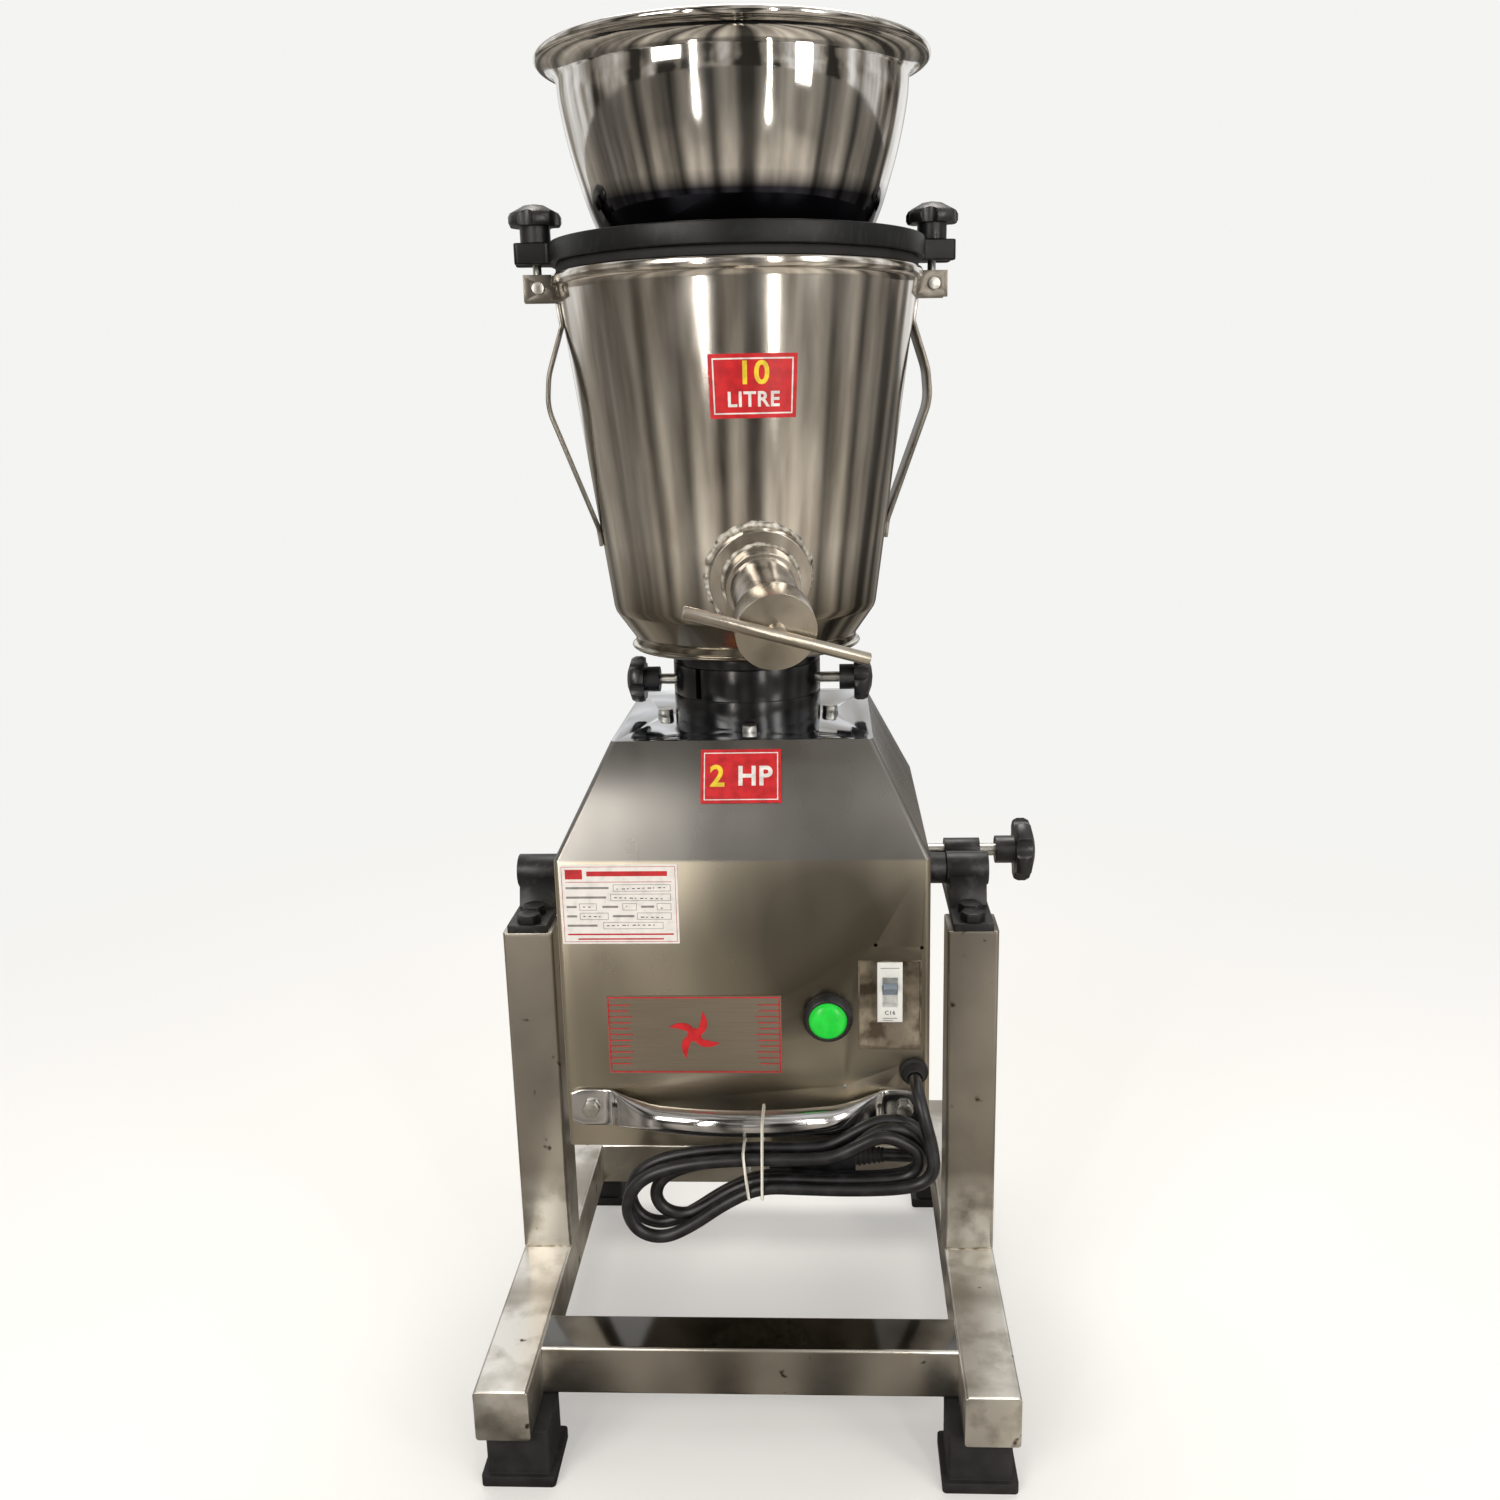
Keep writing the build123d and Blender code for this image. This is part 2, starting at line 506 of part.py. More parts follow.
# ================================================================ front panel fittings
def build_front_fittings():
    bolt_z = handle_z
    half = HANDLE_BOLT_SPAN / 2
    sections = []
    for x, round_share, out_share in HANDLE_SECTIONS:
        height = HANDLE_FLAT * (1 - round_share) + HANDLE_TUBE * round_share
        depth = STRAP * (1 - round_share) + HANDLE_TUBE * round_share
        y = panel_y - depth / 2 - HANDLE_STAND_OFF * out_share
        plane = Plane(origin=(x, y, bolt_z + HANDLE_LIFT * out_share), x_dir=(0, 1, 0), z_dir=(1, 0, 0))
        sections.append(plane * RectangleRounded(depth, height, depth * 0.49 * round_share + 1.2 * (1 - round_share)))
    handle = loft([section.face() for section in sections])
    bolts = []
    for side in (-1, 1):
        x = side * half
        tab = Pos(side * (half + 1), panel_y - STRAP / 2, bolt_z) * Rot(90, 0, 0) * extrude(
            RectangleRounded(HANDLE_TAB, HANDLE_FLAT, 4), STRAP / 2, both=True)
        handle += tab
        handle -= along_front(rod(3.3, -2, 10), x, panel_y, bolt_z)
        bolts.append(along_front(hex_bolt(6, 11, 5, STRAP + SHEET + 8), x, panel_y - STRAP, bolt_z))
    save("pull_handle", handle)

    lamp_z = housing_bottom + LAMP_RISE
    bezel = lathe([(LAMP_LENS / 2 - 3, -14), (LAMP_LENS / 2 - 2.3, -14), (LAMP_LENS / 2 - 2.3, 0),
                   (LAMP_BEZEL / 2, 0), (LAMP_BEZEL / 2, 5), (LAMP_BEZEL / 2 - 2.5, 9),
                   (LAMP_LENS / 2 + 0.4, 9), (LAMP_LENS / 2 + 0.4, 3), (LAMP_LENS / 2 - 3, 3)])
    save("lamp_bezel", along_front(bezel, LAMP_X, panel_y, lamp_z))
    lens = lathe([(0, 3), (LAMP_LENS / 2 + 0.3, 3), (LAMP_LENS / 2 + 0.3, 9), (LAMP_LENS / 2 - 1.5, 11.5),
                  (LAMP_LENS / 4, 13), (0, 13.4)])
    save("lamp_lens", along_front(lens, LAMP_X, panel_y, lamp_z))

    grip = CORD_DIAMETER / 2 + 0.1
    gland = ring(CORD_DIAMETER / 2 + 3.4, grip, -6, 1) + ring(CORD_DIAMETER / 2 + 5.5, grip, 0, 3)
    gland += lathe([(grip, 3), (CORD_DIAMETER / 2 + 3.5, 3), (CORD_DIAMETER / 2 + 1.6, GLAND_LENGTH),
                    (grip, GLAND_LENGTH)])
    save("cord_gland", along_front(gland, GLAND_X, panel_y, housing_bottom + GLAND_RISE))
    return bolts


def build_breaker():
    """Pressed recess with a sloped lower lip, a single-pole breaker behind it and its toggle."""
    z = housing_bottom + BREAKER_RISE
    low = z - RECESS_HEIGHT / 2
    high = z + RECESS_HEIGHT / 2
    left = BREAKER_X - RECESS_WIDTH / 2

    def pan(inset, front):
        back = RECESS_DEPTH - inset
        outline = Polyline((front, high - inset), (back, high - inset), (back, low + inset * 0.6),
                           (front, low - RECESS_LIP + inset * 1.8), close=True)
        profile = Plane(origin=(left + inset, panel_y, 0), x_dir=(0, 1, 0), z_dir=(1, 0, 0)) * make_face(outline)
        return extrude(profile, RECESS_WIDTH - 2 * inset)

    recess = pan(0.0, 0.0) - pan(1.0, -1.0)
    window = Pos(BREAKER_X, panel_y + RECESS_DEPTH, z) * Box(BREAKER_WIDTH + 0.6, 6, BREAKER_HEIGHT + 0.2)
    recess -= window
    save("breaker_recess", recess)
    nose = Pos(BREAKER_X, panel_y - 1, z) * Box(BREAKER_WIDTH, 14, BREAKER_HEIGHT - 0.2,
                                                align=(Align.CENTER, Align.MIN, Align.CENTER))
    case = Pos(BREAKER_X, panel_y + RECESS_DEPTH + 1.4, z) * Box(
        BREAKER_WIDTH, 54, 82, align=(Align.CENTER, Align.MIN, Align.CENTER))
    slot = Pos(BREAKER_X, panel_y - 1, z) * Box(BREAKER_WIDTH - 7, 16, 22)
    save("breaker_body", nose + case - slot)
    toggle_y = panel_y + 3.5
    toggle = Pos(BREAKER_X, toggle_y, z) * Rot(0, 90, 0) * Cylinder(3.2, BREAKER_WIDTH - 7.4)
    lever = Pos(BREAKER_X, toggle_y, z) * Rot(-35, 0, 0) * Pos(0, -6.5, 0) * Box(BREAKER_WIDTH - 8.4, 13, 4)
    save("breaker_toggle", toggle + lever)


def build_labels():
    """Power label on the sloped band, rating plate and plain name plate on the panel."""
    slope = degrees(atan2((HOUSING_DEPTH - TOP_DEPTH) / 2, HIP_HEIGHT))
    band = Plane(origin=(0, panel_y + tan(radians(slope)) * HIP_HEIGHT * 0.7, shoulder_z + HIP_HEIGHT * 0.7),
                 x_dir=(1, 0, 0), z_dir=(0, -cos(radians(slope)), sin(radians(slope))))
    power_label = extrude(band * RectangleRounded(*POWER_LABEL, 1), LABEL_THICK)
    rating = Rot(90, 0, 0) * extrude(RectangleRounded(*RATING_PLATE, 1.5), LABEL_THICK)
    rating = Pos(-HOUSING_WIDTH / 2 + RATING_INSET, panel_y, shoulder_z - RATING_DROP) * rating
    badge = Rot(90, 0, 0) * extrude(RectangleRounded(*BADGE_PLATE, 5), LABEL_THICK * 2)
    badge = Pos(BADGE_X, panel_y, housing_bottom + BADGE_RISE) * badge
    save("panel_plates", group([power_label, rating, badge]))


# ================================================================ motor
def build_motor():
    shell_high = top_z - MOTOR_DROP
    shell_low = shell_high - MOTOR_LENGTH
    bearing_r = BEARING_OUTER / 2
    shaft_r = SHAFT_OUTER / 2
    casing = [ring(MOTOR_OUTER / 2, MOTOR_INNER / 2, shell_low, shell_high),
              ring(MOTOR_OUTER / 2, bearing_r, shell_low - BEARING_WIDTH, shell_low)]
    mid = (shell_low + shell_high) / 2
    stack_low, stack_high = mid - STATOR_STACK / 2, mid + STATOR_STACK / 2
    save("stator_core", ring(MOTOR_INNER / 2, STATOR_BORE / 2, stack_low, stack_high))
    windings = [ring(MOTOR_INNER / 2 - 6, STATOR_BORE / 2 + 3, stack_high, stack_high + 18),
                ring(MOTOR_INNER / 2 - 6, STATOR_BORE / 2 + 3, stack_low - 18, stack_low)]
    save("stator_windings", group([fillet(w.edges(), 5) for w in windings]))
    upper = ring(MOTOR_OUTER / 2, bearing_r, shell_high, shell_high + BEARING_WIDTH)
    neck_high = top_z - SHEET
    upper += ring(bearing_r + 10, bearing_r - 4, shell_high + BEARING_WIDTH, neck_high)
    upper += ring(collar_bolt_radius + 9, bearing_r - 4, neck_high - 8, neck_high)
    bolts = []
    for angle in collar_bolt_angles():
        place = Rot(0, 0, angle) * Pos(collar_bolt_radius, 0, top_z)
        upper -= place * rod(3.1, -20, 1)
        bolts.append(place * hex_bolt(6, 10, 4.5, SHEET + 8))
    save("motor_casing", group(casing + [upper]))
    save("motor_bearings", group([ring(bearing_r, shaft_r + SHAFT_PLAY, shell_high, shell_high + BEARING_WIDTH),
                                  ring(bearing_r, shaft_r + SHAFT_PLAY, shell_low - BEARING_WIDTH, shell_low)]))

    fan_z = shell_low - BEARING_WIDTH - 26
    coupling_z = top_z + 1.5
    shaft = rod(shaft_r, fan_z - 4, coupling_z)
    save("motor_shaft", shaft)
    save("rotor_core", ring(STATOR_BORE / 2 - AIR_GAP, shaft_r, stack_low, stack_high))
    fan = ring(18, shaft_r, fan_z, fan_z + 16)
    fan += ring(FAN_RADIUS, 17, fan_z + 13, fan_z + 16)
    for blade in range(9):
        fan += Rot(0, 0, 40 * blade) * Pos(17, 0, fan_z) * Box(
            FAN_RADIUS - 19, 2.5, 13, align=(Align.MIN, Align.CENTER, Align.MIN))
    save("cooling_fan", fan)
    save("drive_coupling", dog_coupling(coupling_z, 1))
    return bolts


def dog_coupling(face, facing):
    """Disc with three dogs; facing is +1 for dogs up and -1 for dogs down."""
    disc_low = face if facing > 0 else face - COUPLING_DISC
    half = rod(COUPLING_RADIUS, disc_low, disc_low + COUPLING_DISC)
    dog_low = disc_low + COUPLING_DISC if facing > 0 else disc_low - DOG_HEIGHT
    wedge = ring(COUPLING_RADIUS, COUPLING_RADIUS * 0.4, dog_low, dog_low + DOG_HEIGHT)
    reach = COUPLING_RADIUS * 2
    spread = radians(DOG_ANGLE / 2)
    sector = extrude(make_face(Polyline((0, 0), (reach, -reach * tan(spread)), (reach, reach * tan(spread)),
                                        close=True)), DOG_HEIGHT)
    dog = wedge & Pos(0, 0, dog_low) * sector
    for turn in range(3):
        half += Rot(0, 0, 120 * turn + (0 if facing > 0 else 60)) * dog
    return half


def build_capacitor():
    """Run capacitor standing on the bottom cover, in the rear left corner."""
    floor = housing_bottom + 1 + SHEET
    capacitor = rod(20, floor, floor + 92) + rod(14, floor + 92, floor + 96)
    save("run_capacitor", Pos(-side_x + 28, -panel_y - 28, 0) * capacitor)


# ================================================================ jar
def jar_outline(inset):
    """Half outline of the jar, drawn in by the wall's thickness for its inside."""
    slope = (JAR_TOP_RADIUS - JAR_LOWER_RADIUS) / (JAR_HEIGHT - JAR_CHAMFER_HEIGHT)
    low = inset * 1.0
    return [(0, jar_base + low), (JAR_BASE_RADIUS - inset, jar_base + low),
            (JAR_BASE_RADIUS - inset, jar_base + JAR_BASE_BAND + inset * 0.5),
            (JAR_LOWER_RADIUS - inset * 1.05, jar_base + JAR_CHAMFER_HEIGHT + inset * 0.3),
            (JAR_TOP_RADIUS - inset * 1.05 + slope * inset * 2, jar_top + inset * 2),
            (0, jar_top + inset * 2)]


def jar_wall_radius(z):
    """Outside radius of the jar's cone at a height."""
    share = (z - jar_base - JAR_CHAMFER_HEIGHT) / (JAR_HEIGHT - JAR_CHAMFER_HEIGHT)
    return JAR_LOWER_RADIUS + (JAR_TOP_RADIUS - JAR_LOWER_RADIUS) * share


def turned(shape):
    """Turn a piece of the jar or lid to where the jar stands on its collar."""
    return Rot(0, 0, JAR_TURN) * shape


def outlet_frame(distance):
    """Frame on the outlet's axis, at a distance from the jar's wall, with Z pointing out of the jar."""
    height = jar_base + OUTLET_HEIGHT
    start = jar_wall_radius(height)
    drop = radians(OUTLET_DROOP)
    return (Pos(0, -start - distance * cos(drop), height - distance * sin(drop)) * Rot(90 + OUTLET_DROOP, 0, 0))


def build_jar():
    outside = lathe(jar_outline(0))
    hollow = lathe(jar_outline(JAR_WALL))
    shell = outside - hollow
    rim_low = jar_top - JAR_RIM_HEIGHT
    rim_inner = jar_wall_radius(rim_low)
    shell += ring(JAR_RIM_RADIUS, rim_inner - JAR_WALL * 0.4, rim_low, jar_top) - hollow
    bush_hole = rod(14, jar_base - 1, jar_base + 5)
    outlet_hole = outlet_frame(0) * rod(SPOUT_BORE, -40, 20)
    shell += ring(JAR_BASE_RADIUS + JAR_BASE_LIP, JAR_BASE_RADIUS - JAR_WALL, jar_base, jar_base + 4)
    shell = shell - bush_hole - outlet_hole
    save("jar_shell", turned(shell))

    bore = COLLAR_BORE / 2 - SPIGOT_PLAY
    spigot = ring(COLLAR_OUTER / 2, 14, collar_top + 0.2, jar_base)
    spigot += ring(bore, COUPLING_RADIUS + 5, collar_top - SPIGOT_DEPTH, collar_top + 0.2)
    save("jar_spigot", turned(spigot))

    keep_out = outside + ring(JAR_RIM_RADIUS, 100, rim_low, jar_top)
    save("jar_handles", turned(group([jar_handle(side) - keep_out for side in (-1, 1)])))
    save("clamp_lugs", turned(group([plate - keep_out for plate in lug_plates()])))
    pin_r = PIN_DIAMETER / 2
    eye = Rot(90, 0, 0) * ring(EYE_DIAMETER / 2, pin_r + BOLT_PLAY / 3, -LUG_GAP / 2 + 0.5, LUG_GAP / 2 - 0.5)
    shank = rod(BOLT_DIAMETER / 2, EYE_DIAMETER / 2 - 0.5, lid_top + LID_KNOB["depth"] - 4 - pin_z)
    outer_face = LUG_GAP / 2 + STRAP
    pin = rod(pin_r, -outer_face - 0.2, outer_face + 0.2)
    pin += rod(pin_r + 1.2, outer_face + 0.2, outer_face + 1.7) + rod(pin_r + 1.2, -outer_face - 1.7, -outer_face - 0.2)
    pieces = [eye + shank, Rot(90, 0, 0) * pin]
    save("swing_bolts", turned(group([Pos(side * CLAMP_RADIUS, 0, pin_z) * piece
                                      for side in (-1, 1) for piece in pieces])))

    flange = outlet_frame(0) * rod(FLANGE_RADIUS, -25, 7)
    tube_bore = outlet_frame(0) * rod(SPOUT_BORE, -60, SPOUT_REACH + 5)
    flange = flange - outside - tube_bore
    tube = outlet_frame(0) * (rod(SPOUT_RADIUS, 7, 22) + rod(SPOUT_NECK_RADIUS, 22, SPOUT_REACH)) - tube_bore
    save("outlet_spout", turned(flange + tube))


def lug_plates():
    """Two plates at each side of the jar, with the clamp pin's hole."""
    length = LUG_END - JAR_TOP_RADIUS + 6
    plates = []
    for side in (-1, 1):
        for offset in (-1, 1):
            plate = Box(length, STRAP, LUG_HEIGHT)
            middle = JAR_TOP_RADIUS - 6 + length / 2
            plate = Pos(side * middle, offset * (LUG_GAP + STRAP) / 2, pin_z) * plate
            hole = Rot(90, 0, 0) * rod(PIN_DIAMETER / 2 + BOLT_PLAY / 3, -20, 20)
            plates.append(plate - Pos(side * CLAMP_RADIUS, 0, pin_z) * hole)
    return plates


def jar_handle(side):
    """Bowed steel strap welded to the jar's side by a tab at each end."""
    high, low = pin_z - LUG_HEIGHT / 2 - 1, jar_base + 76
    half = STRAP / 2 + 0.1
    out = CLAMP_RADIUS
    points = [(jar_wall_radius(high) + half, high), (jar_wall_radius(high - 15) + half, high - 15),
              (out - 4, high - 48), (out - 2, high - 70), (jar_wall_radius(low + 13) + half, low + 13),
              (jar_wall_radius(low) + half, low)]
    route = Plane.XZ * FilletPolyline(*points, radius=[6, 40, 40, 6])
    section = Plane(origin=route @ 0, x_dir=(0, 1, 0), z_dir=route % 0) * Rectangle(HANDLE_WIDTH, STRAP)
    strap = sweep(section, path=route)
    return strap if side > 0 else Rot(0, 0, 180) * strap


def build_outlet_cap():
    """Screw cap with its sealing washer and the tee bar in the saddle on its face."""
    seat = SPOUT_REACH + 0.2
    floor = seat + WASHER_THICK + 0.2
    face = floor + CAP_FLOOR
    cup = rod(CAP_RADIUS, face - CAP_LENGTH, face)
    cup -= rod(SPOUT_NECK_RADIUS + 0.3, face - CAP_LENGTH - 1, floor)
    cup += rod(BOSS_RADIUS, face, face + TEE_STAND_OFF)
    tee_place = Pos(0, 0, face + TEE_STAND_OFF) * Rot(0, 0, TEE_ANGLE) * Rot(0, 90, 0)
    bar = rod(TEE_DIAMETER / 2, -TEE_LENGTH / 2, TEE_LENGTH / 2)
    save("outlet_cap", turned(outlet_frame(0) * (cup - tee_place * bar)))
    save("outlet_tee_bar", turned(outlet_frame(0) * tee_place * bar))
    washer = ring(SPOUT_NECK_RADIUS, SPOUT_BORE, seat, seat + WASHER_THICK)
    save("outlet_washer", turned(outlet_frame(0) * washer))


def build_blades():
    """Blade spindle in its bush, two stacked cutters, nut and the driven half of the coupling."""
    shaft_r = BLADE_SHAFT / 2
    floor = jar_base + JAR_WALL
    save("blade_bush", turned(ring(14, shaft_r + 0.05, jar_base - 9, floor + 14)))
    coupling_face = top_z + 1.5 + COUPLING_DISC + DOG_HEIGHT + 0.8
    driven = dog_coupling(coupling_face + COUPLING_DISC, -1)
    save("driven_coupling", driven)
    blade_z = floor + 16
    save("blade_spindle", rod(shaft_r, coupling_face + COUPLING_DISC, blade_z + 20))
    lower = (Box(BLADE_SPAN, 20, BLADE_THICK, align=LOW) & rod(BLADE_SPAN / 2, 0, 5)) - rod(shaft_r, -1, 4)
    arm = Box(BLADE_SPAN * 0.36, 16, BLADE_THICK, align=(Align.MIN, Align.CENTER, Align.MIN))
    upper = rod(12, 0, BLADE_THICK)
    for turn in (0, 180):
        upper += Rot(0, 0, 90 + turn) * Pos(11, 0, 0) * Rot(0, -22, 0) * arm
    upper = (upper & rod(BLADE_SPAN, 0, 60)) - rod(shaft_r, -5, 60)
    upper_z = blade_z + BLADE_THICK + 0.1
    save("cutter_blades", group([Pos(0, 0, blade_z) * lower, Pos(0, 0, upper_z) * upper]))
    nut = extrude(RegularPolygon(9.5, 6, major_radius=False), 9) - rod(shaft_r, -1, 12)
    nut_z = upper_z + BLADE_THICK + 0.1
    save("blade_nut", Pos(0, 0, nut_z) * (nut & rod(10.4, 0, 9)))


# ================================================================ lid and feed bowl
def bowl_profile(offset):
    """Outside of the bowl, from its throat to its wall's top; offset moves it inwards."""
    base = lid_top - BOWL_SINK
    return [(THROAT_RADIUS, base + offset), (62 - offset * 0.5, base + offset), (BOWL_SEAT_RADIUS - 8 - offset, base + 12),
            (BOWL_SEAT_RADIUS - offset, lid_top), (107 - offset, lid_top + 38), (116.6 - offset, lid_top + 74),
            (BOWL_WALL_RADIUS - offset, lid_top + 103)]


def build_bowl():
    rim_z = lid_top + BOWL_HEIGHT
    wall_top = lid_top + 103
    outer = bowl_profile(0)
    inner = bowl_profile(BOWL_WALL)
    outer_line = Polyline(*outer[:2]) + Spline(*outer[1:], tangents=[(1, 0.25), (0.06, 1)])
    inner_line = Polyline(*inner[:2]) + Spline(*inner[1:], tangents=[(1, 0.25), (0.06, 1)])
    flare = Polyline((BOWL_WALL_RADIUS, wall_top), (BOWL_WALL_RADIUS + 3, wall_top + 6), (BOWL_RIM_RADIUS - 1.5, rim_z - 5),
                     (BOWL_RIM_RADIUS, rim_z - 3), (BOWL_RIM_RADIUS - 1.5, rim_z), (BOWL_WALL_RADIUS + 2, rim_z - 4),
                     (BOWL_WALL_RADIUS - BOWL_WALL, wall_top))
    throat = Line(outer[0], inner[0])
    profile = make_face(Plane.XZ * (outer_line + flare + inner_line + throat))
    save("feed_bowl", turned(revolve(profile, Axis.Z)))


def build_lid():
    cone = lathe([(0, lid_bottom - 2), (BOWL_SEAT_RADIUS - 6 + SEAT_GAP, lid_bottom - 2),
                  (BOWL_SEAT_RADIUS + SEAT_GAP, lid_top), (BOWL_SEAT_RADIUS + SEAT_GAP, lid_top + 1), (0, lid_top + 1)])
    lid = rod(LID_RADIUS, lid_bottom, lid_top)
    for side in (-1, 1):
        ear = Pos(side * LID_RADIUS * 0.8, 0, lid_bottom) * Box(
            EAR_END - LID_RADIUS * 0.8, EAR_WIDTH, LID_THICK,
            align=(Align.MIN if side > 0 else Align.MAX, Align.CENTER, Align.MIN))
        lid += ear
    lid = fillet(lid.edges().filter_by(Axis.Z), 3)
    lid -= cone
    for side in (-1, 1):
        slot = Pos(side * CLAMP_RADIUS, 0, lid_bottom - 1) * Box(
            40, BOLT_DIAMETER + 1, LID_THICK + 2, align=(Align.MIN if side > 0 else Align.MAX, Align.CENTER, Align.MIN))
        lid -= slot + Pos(side * CLAMP_RADIUS, 0, 0) * rod(BOLT_DIAMETER / 2 + 0.5, lid_bottom - 1, lid_top + 1)
    save("lid_ring", turned(lid))
    gasket = ring(JAR_TOP_RADIUS - 0.5, JAR_TOP_RADIUS - 14, jar_top + 0.4, lid_bottom)
    save("lid_gasket", turned(gasket))
    for side, word in ((-1, "left"), (1, "right")):
        knob = Pos(side * CLAMP_RADIUS, 0, lid_top + 0.3) * star_knob(**LID_KNOB)
        save(f"lid_knob_{word}", turned(knob))


# ================================================================ power cord
def cord_points():
    """Route of the lead from the gland down to the hank, in machine coordinates."""
    exit_y = panel_y - GLAND_LENGTH - 0.2
    exit_z = housing_bottom + GLAND_RISE
    return [(GLAND_X, exit_y, exit_z), (GLAND_X + 0.5, exit_y - 12, exit_z - 0.5),
            (GLAND_X + 2.5, exit_y - 23, exit_z - 7), (GLAND_X + 6, exit_y - 28.5, exit_z - 20.5),
            (GLAND_X + 10, exit_y - 28.5, exit_z - 36)]


def corner_radii(points):
    """Largest tangent arc that each corner's two runs allow."""
    radii = []
    for before, here, after in zip(points, points[1:], points[2:]):
        first, second = Vector(*here) - Vector(*before), Vector(*after) - Vector(*here)
        half_turn = radians(first.get_angle(second) / 2)
        radii.append(0.45 * min(first.length, second.length) / tan(half_turn))
    print("bend radii", [round(radius, 1) for radius in radii])
    return radii


def build_cord():
    """Lead from the gland, the hank tied below the handle, its plug and its string tie."""
    points = cord_points()
    path = FilletPolyline(*points, radius=corner_radii(points))
    lead = sweep(Plane(origin=path @ 0, z_dir=path % 0) * Circle(CORD_DIAMETER / 2), path=path)
    print("lead volume", round(lead.volume), "section by length", round(pi * CORD_DIAMETER ** 2 / 4 * path.length))
    save("cord_lead", lead)
    waist_top, waist_low = handle_z - WAIST_DROP, handle_z - WAIST_DROP - WAIST_HEIGHT
    drops = [(-89, 47), (-86, 68), (-64, 83), (-40, 75), (-12, 52)]
    rises = [(132, -31), (137, -13), (124, 6), (102, 9), (85, -2)]
    outline = Spline((12, waist_top), (-32, waist_top - 3), (-70, waist_top - 11),
                     *[(x, handle_z - drop) for x, drop in drops],
                     (12, waist_low), (60, waist_low + 1), (108, waist_low + 3),
                     *[(x, handle_z + rise) for x, rise in rises], (64, waist_top - 1.5), periodic=True)
    front = panel_y - HANK_FRONT
    hank = extrude(Plane.XZ.offset(-front) * make_face(outline), -HANK_THICK)
    save("cord_hank", hank)
    plug_back = front + HANK_THICK
    plug_x = GLAND_X - 65
    body = Pos(plug_x, plug_back, waist_low + 14) * Box(
        PLUG_LENGTH, 20, 24, align=(Align.CENTER, Align.MIN, Align.CENTER))
    body = fillet(body.edges().filter_by(Axis.X), 6)
    pins = [along_x(rod(2.6, 0, 15), plug_x - PLUG_LENGTH / 2 - 15, plug_back + y, waist_low + 14 + z)
            for y, z in ((6, -7), (14, -7), (10, 7))]
    save("cord_plug", body + pins[0] + pins[1] + pins[2])
    tie_low = waist_low - 0.4
    tie_high = handle_z + HANDLE_LIFT + HANDLE_TUBE / 2 + 0.4
    tie_front = front - 0.4
    tie_back = panel_y - HANDLE_STAND_OFF + 0.4
    loop = RectangleRounded(tie_back - tie_front + 3.2, tie_high - tie_low + 3.2, 1.5)
    loop -= RectangleRounded(tie_back - tie_front, tie_high - tie_low, 0.5)
    tie = extrude(Plane.YZ * loop, TIE_WIDTH / 2, both=True)
    save("cord_tie", Pos(12, (tie_front + tie_back) / 2, (tie_low + tie_high) / 2) * tie)


def build_all():
    build_stand()
    build_feet()
    build_pedestals()
    build_housing()
    fasteners = build_trunnions() + build_covers() + build_front_fittings() + build_motor()
    save("housing_fasteners", group(fasteners))
    build_collar()
    build_lock_screws()
    build_breaker()
    build_labels()
    build_capacitor()
    build_jar()
    build_outlet_cap()
    build_blades()
    build_bowl()
    build_lid()
    build_cord()


build_all()
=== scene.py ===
import json
from math import cos, pi, radians, sin

import bmesh
import bpy
from mathutils import Matrix, Vector, noise

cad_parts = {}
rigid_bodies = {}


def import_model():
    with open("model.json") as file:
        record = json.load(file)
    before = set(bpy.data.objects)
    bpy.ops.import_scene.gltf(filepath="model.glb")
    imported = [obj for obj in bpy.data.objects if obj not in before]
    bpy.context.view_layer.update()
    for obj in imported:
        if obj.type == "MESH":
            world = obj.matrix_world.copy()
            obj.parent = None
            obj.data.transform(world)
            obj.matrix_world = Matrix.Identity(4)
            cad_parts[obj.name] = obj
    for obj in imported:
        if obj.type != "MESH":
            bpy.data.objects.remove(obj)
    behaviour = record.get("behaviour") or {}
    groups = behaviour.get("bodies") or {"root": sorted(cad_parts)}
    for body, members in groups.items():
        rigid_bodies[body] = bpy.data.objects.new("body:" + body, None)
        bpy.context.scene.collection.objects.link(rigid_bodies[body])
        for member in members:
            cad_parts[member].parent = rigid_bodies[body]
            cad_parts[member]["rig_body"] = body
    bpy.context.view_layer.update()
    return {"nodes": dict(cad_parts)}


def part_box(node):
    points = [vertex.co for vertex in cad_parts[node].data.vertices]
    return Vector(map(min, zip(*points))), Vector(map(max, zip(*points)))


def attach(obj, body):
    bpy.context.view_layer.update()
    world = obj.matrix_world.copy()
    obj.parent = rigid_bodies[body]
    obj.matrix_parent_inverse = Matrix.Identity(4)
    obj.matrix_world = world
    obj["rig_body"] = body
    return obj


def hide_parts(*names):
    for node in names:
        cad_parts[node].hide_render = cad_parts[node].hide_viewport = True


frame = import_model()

# ---------------------------------------------------------------- the machine's own axis and heights
# The motor and the jar share one upright axis. Its place comes from the neck collar, which is turned about it,
# and every height is read from the CAD piece that sets it.
MM = 0.001
collar_low, collar_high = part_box("neck_collar")
AXIS = Vector(((collar_low.x + collar_high.x) / 2, (collar_low.y + collar_high.y) / 2, 0))
JAR_TURN = radians(9)


def at(x, y, z):
    """A place given in millimetres from the machine's axis and the floor, in the frame's metres."""
    return AXIS + Vector((x, y, z)) * MM


